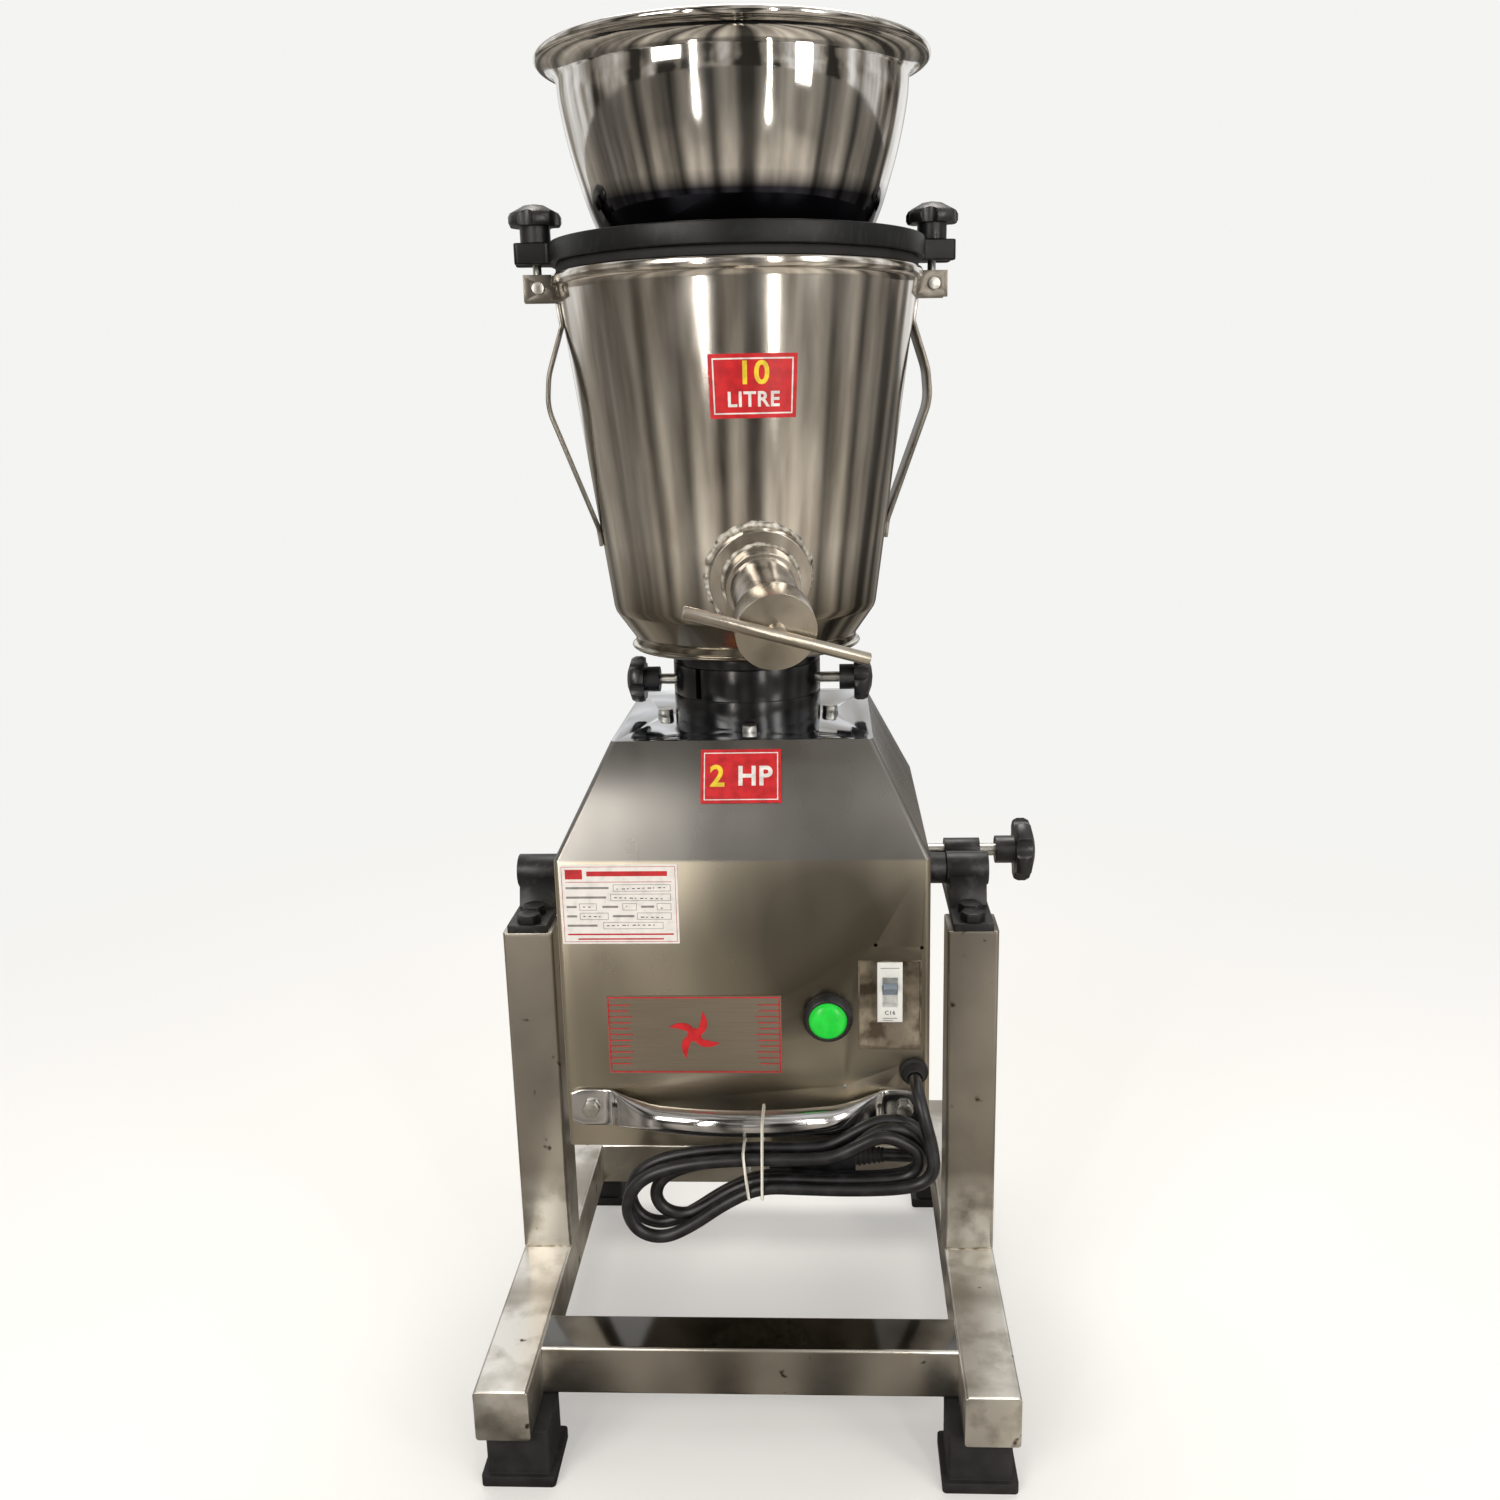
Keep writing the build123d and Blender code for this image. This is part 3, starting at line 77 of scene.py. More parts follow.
# ---------------------------------------------------------------- camera
# Stands about a metre in front of the machine at its own height, looking down a little, with a fairly wide lens.
CAMERA_PLACE = (61.5, -1040.4, 727.3)
CAMERA_YAW = -0.0501
CAMERA_PITCH = 0.2460
CAMERA_ROLL = -0.02225
forward = Vector((sin(CAMERA_YAW) * cos(CAMERA_PITCH), cos(CAMERA_YAW) * cos(CAMERA_PITCH), -sin(CAMERA_PITCH)))
level = Vector((cos(CAMERA_YAW), -sin(CAMERA_YAW), 0))
upright = level.cross(forward)
across = level * cos(CAMERA_ROLL) + upright * sin(CAMERA_ROLL)
upwards = upright * cos(CAMERA_ROLL) - level * sin(CAMERA_ROLL)
camera_data = bpy.data.cameras.new("camera")
camera_data.sensor_width = 36
camera_data.lens = 33.64
camera_data.shift_x = -0.0076
camera_data.shift_y = 0.005
camera_data.clip_end = 60
camera = bpy.data.objects.new("camera", camera_data)
turn = Matrix((across, upwards, -forward)).transposed().to_4x4()
camera.matrix_world = Matrix.Translation(at(*CAMERA_PLACE)) @ turn
bpy.context.scene.collection.objects.link(camera)
bpy.context.scene.camera = camera


# ---------------------------------------------------------------- power cord
# Three-core mains flex with a black PVC sheath, 9 mm round. It leaves the panel through a rubber grommet, drops
# down the front and is folded into a three-turn hank, tied to the pull handle with string; its plug is tucked
# in behind the hank.
def linear(code):
    """An sRGB hex colour as the linear colour that shaders take."""
    channels = [int(code[i:i + 2], 16) / 255 for i in (1, 3, 5)]
    return [c / 12.92 if c <= 0.04045 else ((c + 0.055) / 1.055) ** 2.4 for c in channels] + [1]


def new_material(name):
    """An empty material with its shader and output, for the nodes that its piece needs."""
    material = bpy.data.materials.new(name)
    material.use_nodes = True
    material.node_tree.nodes.clear()
    output = add(material, "ShaderNodeOutputMaterial")
    shader = add(material, "ShaderNodeBsdfPrincipled")
    material.node_tree.links.new(shader.outputs[0], output.inputs[0])
    return material, shader


def add(material, kind, settings=None, **links):
    """One node with its settings; a link is an input's name (spaces as _) and the socket that feeds it."""
    node = material.node_tree.nodes.new(kind)
    for key, value in (settings or {}).items():
        if key in node.inputs:
            node.inputs[key].default_value = value
        else:
            setattr(node, key, value)
    for key, socket in links.items():
        numbered = key[0] == "i" and key[1:].isdigit()
        slot = node.inputs[int(key[1:]) if numbered else key.replace("_", " ")]
        material.node_tree.links.new(socket, slot)
    return node


def feed(material, shader, **sockets):
    """Link sockets into a shader's inputs, by the input's name with spaces as _."""
    for name, socket in sockets.items():
        material.node_tree.links.new(socket, shader.inputs[name.replace("_", " ")])


def metal(shader, share=1.0):
    """Set how metallic a shader is, on its own socket."""
    shader.inputs["Metallic"].default_value = share


def mixed(material, low, high, factor):
    """Two colours mixed by a factor, as a colour socket."""
    node = add(material, "ShaderNodeMix", {"data_type": "RGBA"}, i0=factor)
    node.inputs[6].default_value = linear(low)
    node.inputs[7].default_value = linear(high)
    return node.outputs[2]


def mixed_into(material, base, tint, factor):
    """A colour socket mixed towards a plain colour by a factor."""
    node = add(material, "ShaderNodeMix", {"data_type": "RGBA"}, i0=factor, i6=base)
    node.inputs[7].default_value = linear(tint)
    return node.outputs[2]


def ramp(material, factor, low, high, start=0.0, end=1.0):
    """A number that goes from low to high as the factor goes from start to end."""
    limits = {"From Min": start, "From Max": end, "To Min": low, "To Max": high}
    node = add(material, "ShaderNodeMapRange", limits, Value=factor)
    return node.outputs[0]


def grain(material, scale, stretch=(1, 1, 1), detail=3.0):
    """Noise over the object's own coordinates, in features per metre, stretched along any axis."""
    place = add(material, "ShaderNodeTexCoord")
    mapping = add(material, "ShaderNodeMapping", {"Scale": stretch}, Vector=place.outputs["Object"])
    spots = add(material, "ShaderNodeTexNoise", {"Scale": scale, "Detail": detail}, Vector=mapping.outputs[0])
    return spots.outputs[0]


def bump(material, shader, height, depth, strength=1.0):
    """Raise the surface by the height's value times a depth in millimetres."""
    node = add(material, "ShaderNodeBump", {"Strength": strength, "Distance": depth * MM}, Height=height)
    feed(material, shader, Normal=node.outputs[0])


def soft_pvc_sheath():
    """Soft PVC: near black, a waxy half-gloss with faint rub marks along the flex."""
    material, shader = new_material("soft_pvc_sheath")
    rubs = grain(material, 90, detail=4)
    colour = mixed(material, "#0d0d0f", "#26262a", ramp(material, rubs, 0, 1, 0.45, 0.75))
    feed(material, shader, Base_Color=colour)
    feed(material, shader, Roughness=ramp(material, rubs, 0.28, 0.48))
    shader.inputs["IOR"].default_value = 1.53
    bump(material, shader, grain(material, 1400), 0.02)
    return material


PANEL_Y = -128.0
CORD_DIAMETER = 9.0
gland_low, gland_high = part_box("cord_gland")
gland_x = ((gland_low.x + gland_high.x) / 2 - AXIS.x) / MM
gland_z = (gland_low.z + gland_high.z) / 2 / MM
gland_y = (gland_low.y - AXIS.y) / MM - 0.2
handle_low, handle_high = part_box("pull_handle")
handle_z = (handle_low.z + handle_high.z) / 2 / MM
lead = [(gland_x, gland_y, gland_z), (gland_x + 0.5, gland_y - 12, gland_z - 0.5),
        (gland_x + 2.5, gland_y - 23, gland_z - 7), (gland_x + 6, gland_y - 28.5, gland_z - 20.5),
        (gland_x + 10, gland_y - 28.5, gland_z - 36)]
# One turn of the hank, from the right lobe round by the lower run, the left lobe and the upper run.
HANK_TURN = [(131, 215), (122, 205), (104, 201.5), (72, 200.5), (40, 201.5), (10, 202.5), (-14, 190), (-38, 172),
             (-58, 162), (-76, 167), (-84, 184), (-78, 203), (-60, 215), (-30, 221.5), (10, 224), (42, 223.5),
             (62, 225), (80, 234), (98, 243), (117, 242), (130, 231)]
HANK_MIDDLE = (20, 208)
TURN_DEPTHS = [-173.0, -164.8, -156.6, -147.0]
TURN_SHARES = [1.0, 0.86, 0.97, 0.97]
TURN_SWAY = [0.0, 5.0, -3.0, -3.0]


def hank_points():
    """Three turns side by side, each a little smaller or larger than the last, ending towards the plug."""
    places = []
    count = len(HANK_TURN)
    for turn_number in range(3):
        for step, (x, z) in enumerate(HANK_TURN):
            late = max(0.0, (step - count + 6) / 6)
            ease = late * late * (3 - 2 * late)
            depth = TURN_DEPTHS[turn_number] * (1 - ease) + TURN_DEPTHS[turn_number + 1] * ease
            share = TURN_SHARES[turn_number] * (1 - ease) + TURN_SHARES[turn_number + 1] * ease
            sway = TURN_SWAY[turn_number] * (1 - ease) + TURN_SWAY[turn_number + 1] * ease
            waist = min(1.0, abs(x - 12) / 70)
            places.append((HANK_MIDDLE[0] + (x - HANK_MIDDLE[0]) * (1 - (1 - share) * waist) + sway * waist,
                           depth,
                           HANK_MIDDLE[1] + (z - HANK_MIDDLE[1]) * (share if share > 0.9 else share * 0.82)))
    return places


def round_line(name, places, diameter, material):
    """A smooth round cord through the route's points, as one open spline."""
    curve = bpy.data.curves.new(name, "CURVE")
    curve.dimensions = "3D"
    curve.bevel_depth = diameter / 2 * MM
    curve.bevel_resolution = 6
    curve.resolution_u = 10
    curve.use_fill_caps = True
    spline = curve.splines.new("NURBS")
    spline.points.add(len(places) - 1)
    for point, place in zip(spline.points, places):
        point.co = (*at(*place), 1)
    spline.order_u = 3
    spline.use_endpoint_u = True
    curve.materials.append(material)
    piece = bpy.data.objects.new(name, curve)
    bpy.context.scene.collection.objects.link(piece)
    return piece


sheath = soft_pvc_sheath()
tail = [(129, -143, 217), (121, -142.5, 209.5), (108, -142, 209.5), (96, -142, 210), (79, -142, 210)]
flex = round_line("power_cord", lead + hank_points() + tail, CORD_DIAMETER, sheath)
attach(flex, "housing")
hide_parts("cord_lead", "cord_hank")


# ---------------------------------------------------------------- plug, grommet and ties
# The moulded three-pin plug, the rubber grommet that the flex leaves by, and two loops of white string.
def finish_mesh(name, bm, material, body, slot, smooth_angle=32):
    """Turn a bmesh into a smooth-shaded piece that rides on a body."""
    mesh = bpy.data.meshes.new(name)
    bmesh.ops.recalc_face_normals(bm, faces=bm.faces)
    bm.to_mesh(mesh)
    bm.free()
    mesh.shade_smooth()
    mesh.set_sharp_from_angle(angle=radians(smooth_angle))
    mesh.materials.append(material)
    piece = bpy.data.objects.new(name, mesh)
    bpy.context.scene.collection.objects.link(piece)
    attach(piece, body)
    return piece


def softened(node, width, material, slot, name=None, segments=2, angle=30):
    """A CAD piece with its edges broken as its real maker does, standing for the CAD node."""
    source = frame["nodes"][node]
    bm = bmesh.new()
    bm.from_mesh(source.data)
    bmesh.ops.remove_doubles(bm, verts=bm.verts, dist=2e-6)
    bmesh.ops.dissolve_limit(bm, angle_limit=radians(0.6), verts=bm.verts, edges=bm.edges)
    piece = finish_mesh(name or node + "_body", bm, material, source["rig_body"], slot)
    edge = piece.modifiers.new("broken_edges", "BEVEL")
    edge.width = width * MM
    edge.segments = segments
    edge.limit_method = "ANGLE"
    edge.angle_limit = radians(angle)
    edge.use_clamp_overlap = True
    bpy.context.view_layer.update()
    baked = bpy.data.meshes.new_from_object(piece.evaluated_get(bpy.context.evaluated_depsgraph_get()))
    piece.modifiers.clear()
    piece.data = baked
    baked.shade_smooth()
    baked.set_sharp_from_angle(angle=radians(38))
    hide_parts(node)
    return piece


def moulded_rubber():
    """Carbon-black rubber: a dull near black that greys with dust, finely pitted by its mould."""
    material, shader = new_material("moulded_rubber")
    dusting = grain(material, 60, detail=6)
    colour = mixed(material, "#0b0b0d", "#2a2826", ramp(material, dusting, 0, 0.8, 0.4, 0.8))
    feed(material, shader, Base_Color=colour)
    feed(material, shader, Roughness=ramp(material, dusting, 0.55, 0.85))
    shader.inputs["IOR"].default_value = 1.52
    bump(material, shader, grain(material, 900, detail=4), 0.08)
    return material


def twisted_string():
    """White cotton string, with its ply as slanting ridges 1.5 mm apart."""
    material, shader = new_material("twisted_string")
    place = add(material, "ShaderNodeTexCoord")
    ply = add(material, "ShaderNodeTexWave", {"Scale": 110, "Distortion": 1.0}, Vector=place.outputs["Object"])
    colour = mixed(material, "#b9b4a6", "#efece3", ply.outputs[1])
    feed(material, shader, Base_Color=colour)
    shader.inputs["Roughness"].default_value = 0.85
    bump(material, shader, ply.outputs[1], 0.25)
    return material


rubber = moulded_rubber()
string = twisted_string()


def skin(bm, rings, closed=False, capped=False):
    """Faces between one ring of points and the next; closed joins the last to the first, capped fills the ends."""
    count = len(rings[0])
    for first, second in zip(rings, rings[1:] + rings[:1] if closed else rings[1:]):
        for k in range(count):
            bm.faces.new((first[k], first[(k + 1) % count], second[(k + 1) % count], second[k]))
    if capped:
        bm.faces.new(rings[0])
        bm.faces.new(list(reversed(rings[-1])))


def around(count):
    """Evenly spaced angles round a full turn."""
    return [2 * pi * k / count for k in range(count)]


def strain_relief(x_start, x_end, y, z):
    """Ribbed rubber tail of the plug, tapering along the flex."""
    bm = bmesh.new()
    rings = []
    count = 25
    for number in range(count):
        share = number / (count - 1)
        radius = 8.2 - 3.0 * share - (0.9 if number % 4 in (2, 3) and number < count - 2 else 0.0)
        x = x_start + (x_end - x_start) * share
        rings.append([bm.verts.new(at(x, y + radius * cos(a), z + radius * sin(a))) for a in around(24)])
    skin(bm, rings, capped=True)
    return finish_mesh("plug_strain_relief", bm, rubber, "housing", "black_rubber", 50)


relief = strain_relief(76, 97, -142, 210)
softened("cord_gland", 0.6, rubber, "black_rubber", "cord_grommet")
plug = softened("cord_plug", 0.8, sheath, "black_plastic", "mains_plug")


def tie_loop(name, x, low, high, front, back, slant):
    """A closed loop of string round the hank's waist, hanging from the handle or round the hank alone."""
    corner = 4.0
    places = []
    for centre_y, centre_z, start in ((front + corner, high - corner, 90), (front + corner, low + corner, 180),
                                      (back - corner, low + corner, 270), (back - corner, high - corner, 0)):
        for step in range(5):
            angle = radians(start + 22.5 * step)
            z = centre_z + corner * sin(angle)
            places.append((x + slant * (z - low), centre_y + corner * cos(angle), z))
    curve = bpy.data.curves.new(name, "CURVE")
    curve.dimensions = "3D"
    curve.bevel_depth = 1.0 * MM
    curve.bevel_resolution = 4
    spline = curve.splines.new("POLY")
    spline.points.add(len(places) - 1)
    for point, place in zip(spline.points, places):
        point.co = (*at(*place), 1)
    spline.use_cyclic_u = True
    curve.materials.append(string)
    piece = bpy.data.objects.new(name, curve)
    bpy.context.scene.collection.objects.link(piece)
    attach(piece, "housing")
    return piece


long_tie = tie_loop("string_tie_long", 12, handle_z - 44.8, handle_z + 13.0, -179.3, -147.2, 0.02)
short_tie = tie_loop("string_tie_short", 3, handle_z - 45, handle_z - 10, -179.3, -150.6, -0.1)
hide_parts("cord_tie")
at(*lead[0])


# ---------------------------------------------------------------- stand
# Posts, runners and crossbars of 38 mm square stainless tube with a ground satin finish, welded at the corners
# and ground back bright; small heat tints and stains stay beside the welds.
def satin_tube(name, along, spots, painted_dark_top=False, tones=("#958f85", "#c2bdb3")):
    """Stainless tube: satin grain along it, brighter where welds were ground back; its upward faces can take a
    painted dark reflection in their colour.
    """
    material, shader = new_material(name)
    stretch = [170, 170, 170]
    stretch[along] = 6
    lines = grain(material, 8, stretch, 5)
    clouds = grain(material, 9, detail=4)
    place = add(material, "ShaderNodeTexCoord").outputs["Object"]
    tone = ramp(material, clouds, 0, 1, 0.3, 0.7)
    colour = mixed(material, *tones, tone)
    bright = None
    for centre, radius in spots:
        reach = add(material, "ShaderNodeVectorMath", {"operation": "DISTANCE"}, i0=place)
        reach.inputs[1].default_value = centre
        glow = ramp(material, reach.outputs[1], 1, 0, radius * 0.55, radius)
        if bright is None:
            bright = glow
        else:
            bright = add(material, "ShaderNodeMath", {"operation": "MAXIMUM"}, i0=bright, i1=glow).outputs[0]
    ragged = ramp(material, grain(material, 45, detail=5), 0.0, 1.3, 0.3, 0.6)
    patch = add(material, "ShaderNodeMath", {"operation": "MULTIPLY", "use_clamp": True}, i0=bright, i1=ragged)
    ground = add(material, "ShaderNodeMix", {"data_type": "RGBA"}, i0=patch.outputs[0], i6=colour)
    ground.inputs[7].default_value = linear("#e6e3dc")
    specks = ramp(material, grain(material, 75, detail=2), 0, 1, 0.70, 0.76)
    stained = add(material, "ShaderNodeMix", {"data_type": "RGBA"}, i0=specks, i6=ground.outputs[2])
    stained.inputs[7].default_value = linear("#4d4234")
    normal = add(material, "ShaderNodeNewGeometry").outputs["Normal"]
    facing = add(material, "ShaderNodeSeparateXYZ", Vector=normal)
    # Painted dark reflection on the upward faces, when asked for; their roughness also drops to a near mirror.
    topside = ramp(material, facing.outputs[2], 0, 0.85 if painted_dark_top else 0, 0.9, 0.97)
    painted_top_reflection = add(material, "ShaderNodeMix", {"data_type": "RGBA"}, i0=topside, i6=stained.outputs[2])
    painted_top_reflection.inputs[7].default_value = linear("#2c2b2b")
    feed(material, shader, Base_Color=painted_top_reflection.outputs[2])
    metal(shader)
    polish = add(material, "ShaderNodeMath", {"operation": "MULTIPLY_ADD"}, i0=lines)
    polish.inputs[1].default_value = 0.14
    polish.inputs[2].default_value = 0.24
    rubbed = add(material, "ShaderNodeMix", {"data_type": "FLOAT"}, i0=topside, i2=polish.outputs[0])
    rubbed.inputs[3].default_value = 0.07
    feed(material, shader, Roughness=rubbed.outputs[0])
    bump(material, shader, lines, 0.03, 0.5)
    return material


runner_low, runner_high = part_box("stand_runners")
post_low, post_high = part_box("stand_posts")
bar_low, bar_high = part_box("stand_crossbars")
tube = 38 * MM
joint_x = (post_low.x + tube / 2, post_high.x - tube / 2)
post_y = (post_low.y + post_high.y) / 2
bar_y = (bar_low.y + tube / 2, bar_high.y - tube / 2)
runner_top = runner_high.z
weld_spots = [((x, post_y - 0.01, runner_top), 0.07) for x in joint_x]
weld_spots += [((x, y - 0.01, runner_top), 0.056) for x in joint_x for y in bar_y]
weld_spots += [((x, runner_low.y, runner_top - 0.02), 0.034) for x in joint_x]
satin_upright = satin_tube("satin_stainless_post", 2, weld_spots)
satin_fore_aft = satin_tube("satin_stainless_runner", 1, weld_spots)
# The crossbars' top faces carry a painted dark reflection.
satin_across = satin_tube("satin_stainless_crossbar", 0, weld_spots, painted_dark_top=True)
softened("stand_posts", 0.5, satin_upright, "satin_stainless", "posts")
softened("stand_runners", 0.5, satin_fore_aft, "satin_stainless", "runners")
softened("stand_crossbars", 0.5, satin_across, "satin_stainless", "crossbars")


def weld_seam(name, corners, seed):
    """A ground fillet weld round a tube's foot: a low, slightly uneven bead."""
    bm = bmesh.new()
    rings = []
    total = len(corners)
    steps = 26
    for number in range(total):
        start, end = Vector(corners[number]), Vector(corners[(number + 1) % total])
        for step in range(steps):
            centre = start.lerp(end, step / steps)
            along = (end - start).normalized()
            side = along.cross(Vector((0, 0, 1)))
            size = 1.1 * MM * (0.85 + 0.35 * noise.noise(centre * 260 + Vector((seed, 0, 0))))
            rings.append([bm.verts.new(centre + side * size * cos(a) + Vector((0, 0, 1)) * size * sin(a))
                          for a in around(8)])
    skin(bm, rings, closed=True)
    return finish_mesh(name, bm, weld_metal, "stand", "satin_stainless")


def ground_weld():
    """TIG weld ground back: bright grey with straw heat tint in its hollows."""
    material, shader = new_material("ground_weld")
    heat = grain(material, 160, detail=4)
    colour = mixed(material, "#8f8062", "#cfcac0", ramp(material, heat, 0, 1, 0.4, 0.6))
    feed(material, shader, Base_Color=colour)
    metal(shader)
    feed(material, shader, Roughness=ramp(material, heat, 0.25, 0.55))
    bump(material, shader, grain(material, 700), 0.15)
    return material


weld_metal = ground_weld()
half = tube / 2
flush = half - 1.4 * MM
for number, x in enumerate(joint_x):
    corners = [(x - flush, post_y - half, runner_top), (x + flush, post_y - half, runner_top),
               (x + flush, post_y + half, runner_top), (x - flush, post_y + half, runner_top)]
    weld_seam(f"post_foot_weld_{number + 1}", corners, number + 3)

# ---------------------------------------------------------------- rubber feet
# Square moulded rubber blocks with a wider lip, pushed on under the runners' ends.
softened("rubber_feet", 1.2, rubber, "black_rubber", "feet", 3)


# ---------------------------------------------------------------- trunnion pedestals, bolts and shafts
# Black painted mild steel blocks bolted to the post caps, each carrying a bronze bush for the housing's trunnion.
def black_paint():
    """Air-dried black enamel over mild steel: half-gloss, with rubbed edges and grease-dulled patches."""
    material, shader = new_material("black_enamel_steel")
    wear = grain(material, 130, detail=6)
    colour = mixed(material, "#131416", "#3b3a38", ramp(material, wear, 0, 1, 0.52, 0.72))
    feed(material, shader, Base_Color=colour)
    feed(material, shader, Roughness=ramp(material, grain(material, 40), 0.22, 0.6))
    shader.inputs["IOR"].default_value = 1.5
    bump(material, shader, wear, 0.12)
    return material


def zinc_plate():
    """Bright zinc-plated steel: cool light grey, spangled, with darker scuffs."""
    material, shader = new_material("zinc_plated_steel")
    spangle = grain(material, 420, detail=3)
    colour = mixed(material, "#a3a29c", "#d8d7d0", spangle)
    feed(material, shader, Base_Color=colour)
    metal(shader)
    feed(material, shader, Roughness=ramp(material, spangle, 0.22, 0.42))
    bump(material, shader, spangle, 0.03)
    return material


def plain_metal(name, low, high, rough, scale=240):
    """A turned or sintered metal with a faint mottle."""
    material, shader = new_material(name)
    mottle = grain(material, scale, (1, 1, 1), 3)
    feed(material, shader, Base_Color=mixed(material, low, high, mottle))
    metal(shader)
    feed(material, shader, Roughness=ramp(material, mottle, rough - 0.08, rough + 0.08))
    bump(material, shader, mottle, 0.02)
    return material


enamel = black_paint()
zinc = zinc_plate()
turned_steel = plain_metal("turned_steel", "#8e8e8c", "#c2c1bd", 0.28)
bronze = plain_metal("sintered_bronze", "#8a6233", "#c79a5c", 0.4)
softened("pedestal_left", 0.7, enamel, "black_enamel", "trunnion_block_left")
softened("pedestal_right", 0.7, enamel, "black_enamel", "trunnion_block_right")
softened("pedestal_bolts", 0.5, enamel, "zinc_steel", "block_bolts")
softened("pivot_bushes", 0.3, bronze, "bronze", "bronze_bushes")
softened("trunnions", 0.5, enamel, "ground_steel", "trunnion_shafts")


# ---------------------------------------------------------------- housing
# One folded and welded box of 1.5 mm stainless sheet with a hipped top. The panels are satin and a little
# handled; the hips and the top plate were polished brighter.
def housing_sheet():
    """304 stainless sheet, satin on the walls and near mirror on the top, clouded by handling; the hips' darker
    grey and the top's pale bluish grey are painted reflections.
    """
    material, shader = new_material("housing_stainless_sheet")
    place = add(material, "ShaderNodeTexCoord")
    height = add(material, "ShaderNodeSeparateXYZ", Vector=place.outputs["Object"]).outputs[2]
    normal = add(material, "ShaderNodeSeparateXYZ", Vector=place.outputs["Normal"]).outputs[2]
    lines = grain(material, 8, (5, 5, 150), 5)
    upright_lines = grain(material, 8, (120, 120, 4), 4)
    clouds = grain(material, 9, (1, 1, 0.5), 2)
    smears = grain(material, 14, (1.6, 1.6, 0.5), 2)
    hip = ramp(material, height, 0, 1, shoulder_z - 0.001, shoulder_z + 0.001)
    top = ramp(material, normal, 0, 1, 0.9, 0.98)
    wall = mixed(material, "#a79f8f", "#d6cdb9", ramp(material, clouds, 0, 1, 0.32, 0.68))
    reach = add(material, "ShaderNodeVectorMath", {"operation": "DISTANCE"}, i0=place.outputs["Object"])
    reach.inputs[1].default_value = at(52, PANEL_Y, 366)
    ragged = add(material, "ShaderNodeMath", {"operation": "MULTIPLY_ADD"}, i0=clouds, i2=reach.outputs[1])
    ragged.inputs[1].default_value = 0.10
    smudge = ramp(material, ragged.outputs[0], 0.75, 0, 0.09, 0.17)
    wall = mixed_into(material, wall, "#4b463c", smudge)
    # Hips: a darker neutral grey, a painted reflection on the slopes.
    hip_painted_reflection_tone = mixed(material, "#7a7875", "#95938f", ramp(material, clouds, 0, 1, 0.3, 0.7))
    walls = add(material, "ShaderNodeMix", {"data_type": "RGBA"}, i0=hip, i6=wall, i7=hip_painted_reflection_tone)
    # Top plate: a pale bluish grey, a painted reflection.
    painted_top_reflection = add(material, "ShaderNodeMix", {"data_type": "RGBA"}, i0=top, i6=walls.outputs[2])
    painted_top_reflection.inputs[7].default_value = linear("#d0d4d9")
    feed(material, shader, Base_Color=painted_top_reflection.outputs[2])
    metal(shader)
    wall_rough = add(material, "ShaderNodeMath", {"operation": "MULTIPLY_ADD"}, i0=smears)
    wall_rough.inputs[1].default_value = 0.22
    wall_rough.inputs[2].default_value = 0.20
    hip_rough = add(material, "ShaderNodeMath", {"operation": "MULTIPLY_ADD"}, i0=smears)
    hip_rough.inputs[1].default_value = 0.16
    hip_rough.inputs[2].default_value = 0.20
    rough = add(material, "ShaderNodeMix", {"data_type": "FLOAT"}, i0=hip, i2=wall_rough.outputs[0],
                i3=hip_rough.outputs[0])
    topped_rough = add(material, "ShaderNodeMix", {"data_type": "FLOAT"}, i0=top, i2=rough.outputs[0])
    topped_rough.inputs[3].default_value = 0.06
    feed(material, shader, Roughness=topped_rough.outputs[0])
    both = add(material, "ShaderNodeMath", {"operation": "ADD"}, i0=lines, i1=upright_lines)
    fine = add(material, "ShaderNodeBump", {"Strength": 0.25, "Distance": 0.02 * MM}, Height=both.outputs[0])
    wavy = add(material, "ShaderNodeBump", {"Strength": 0.6, "Distance": 0.9 * MM},
               Height=grain(material, 6, detail=1), Normal=fine.outputs[0])
    feed(material, shader, Normal=wavy.outputs[0])
    return material


shell_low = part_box("housing_shell")[0]
SIDE_HEIGHT = 216 * MM
shoulder_z = shell_low.z + SIDE_HEIGHT
sheet = housing_sheet()
softened("housing_shell", 0.7, sheet, "satin_stainless", "housing", 3)
softened("rear_cover", 0.3, sheet, "satin_stainless", "louvred_rear_cover")
softened("bottom_cover", 0.3, sheet, "satin_stainless", "perforated_bottom_cover")
softened("housing_fasteners", 0.35, zinc, "zinc_steel", "housing_bolts_and_screws")


# ---------------------------------------------------------------- pull handle
# A 19 mm chromed tube, flattened at both ends and bolted through the panel's lower corners.
def bright_chrome():
    """Decorative chrome over steel: near mirror, faintly blue, with wipe marks."""
    material, shader = new_material("bright_chrome_plate")
    wipes = grain(material, 30, (1, 4, 4), 5)
    feed(material, shader, Base_Color=mixed(material, "#a8a7a8", "#dddcdc", wipes))
    metal(shader)
    feed(material, shader, Roughness=ramp(material, wipes, 0.06, 0.22, 0.3, 0.7))
    bump(material, shader, grain(material, 60), 0.12, 0.4)
    return material


chrome = bright_chrome()
BOLT_SPAN = 224.0
TUBE_ROUND = 18.5
FLAT_HEIGHT = 28.0
FLAT_THICK = 3.0
STAND_OFF = 20.5
LIFT = 2.5
HANDLE_SHARES = ((-14, 0.0, 0.0), (12, 0.0, 0.0), (20, 0.25, 0.10), (30, 0.60, 0.24), (40, 0.86, 0.40),
                 (50, 1.0, 0.55), (64, 1.0, 0.73), (80, 1.0, 0.88), (96, 1.0, 0.97), (112, 1.0, 1.0))


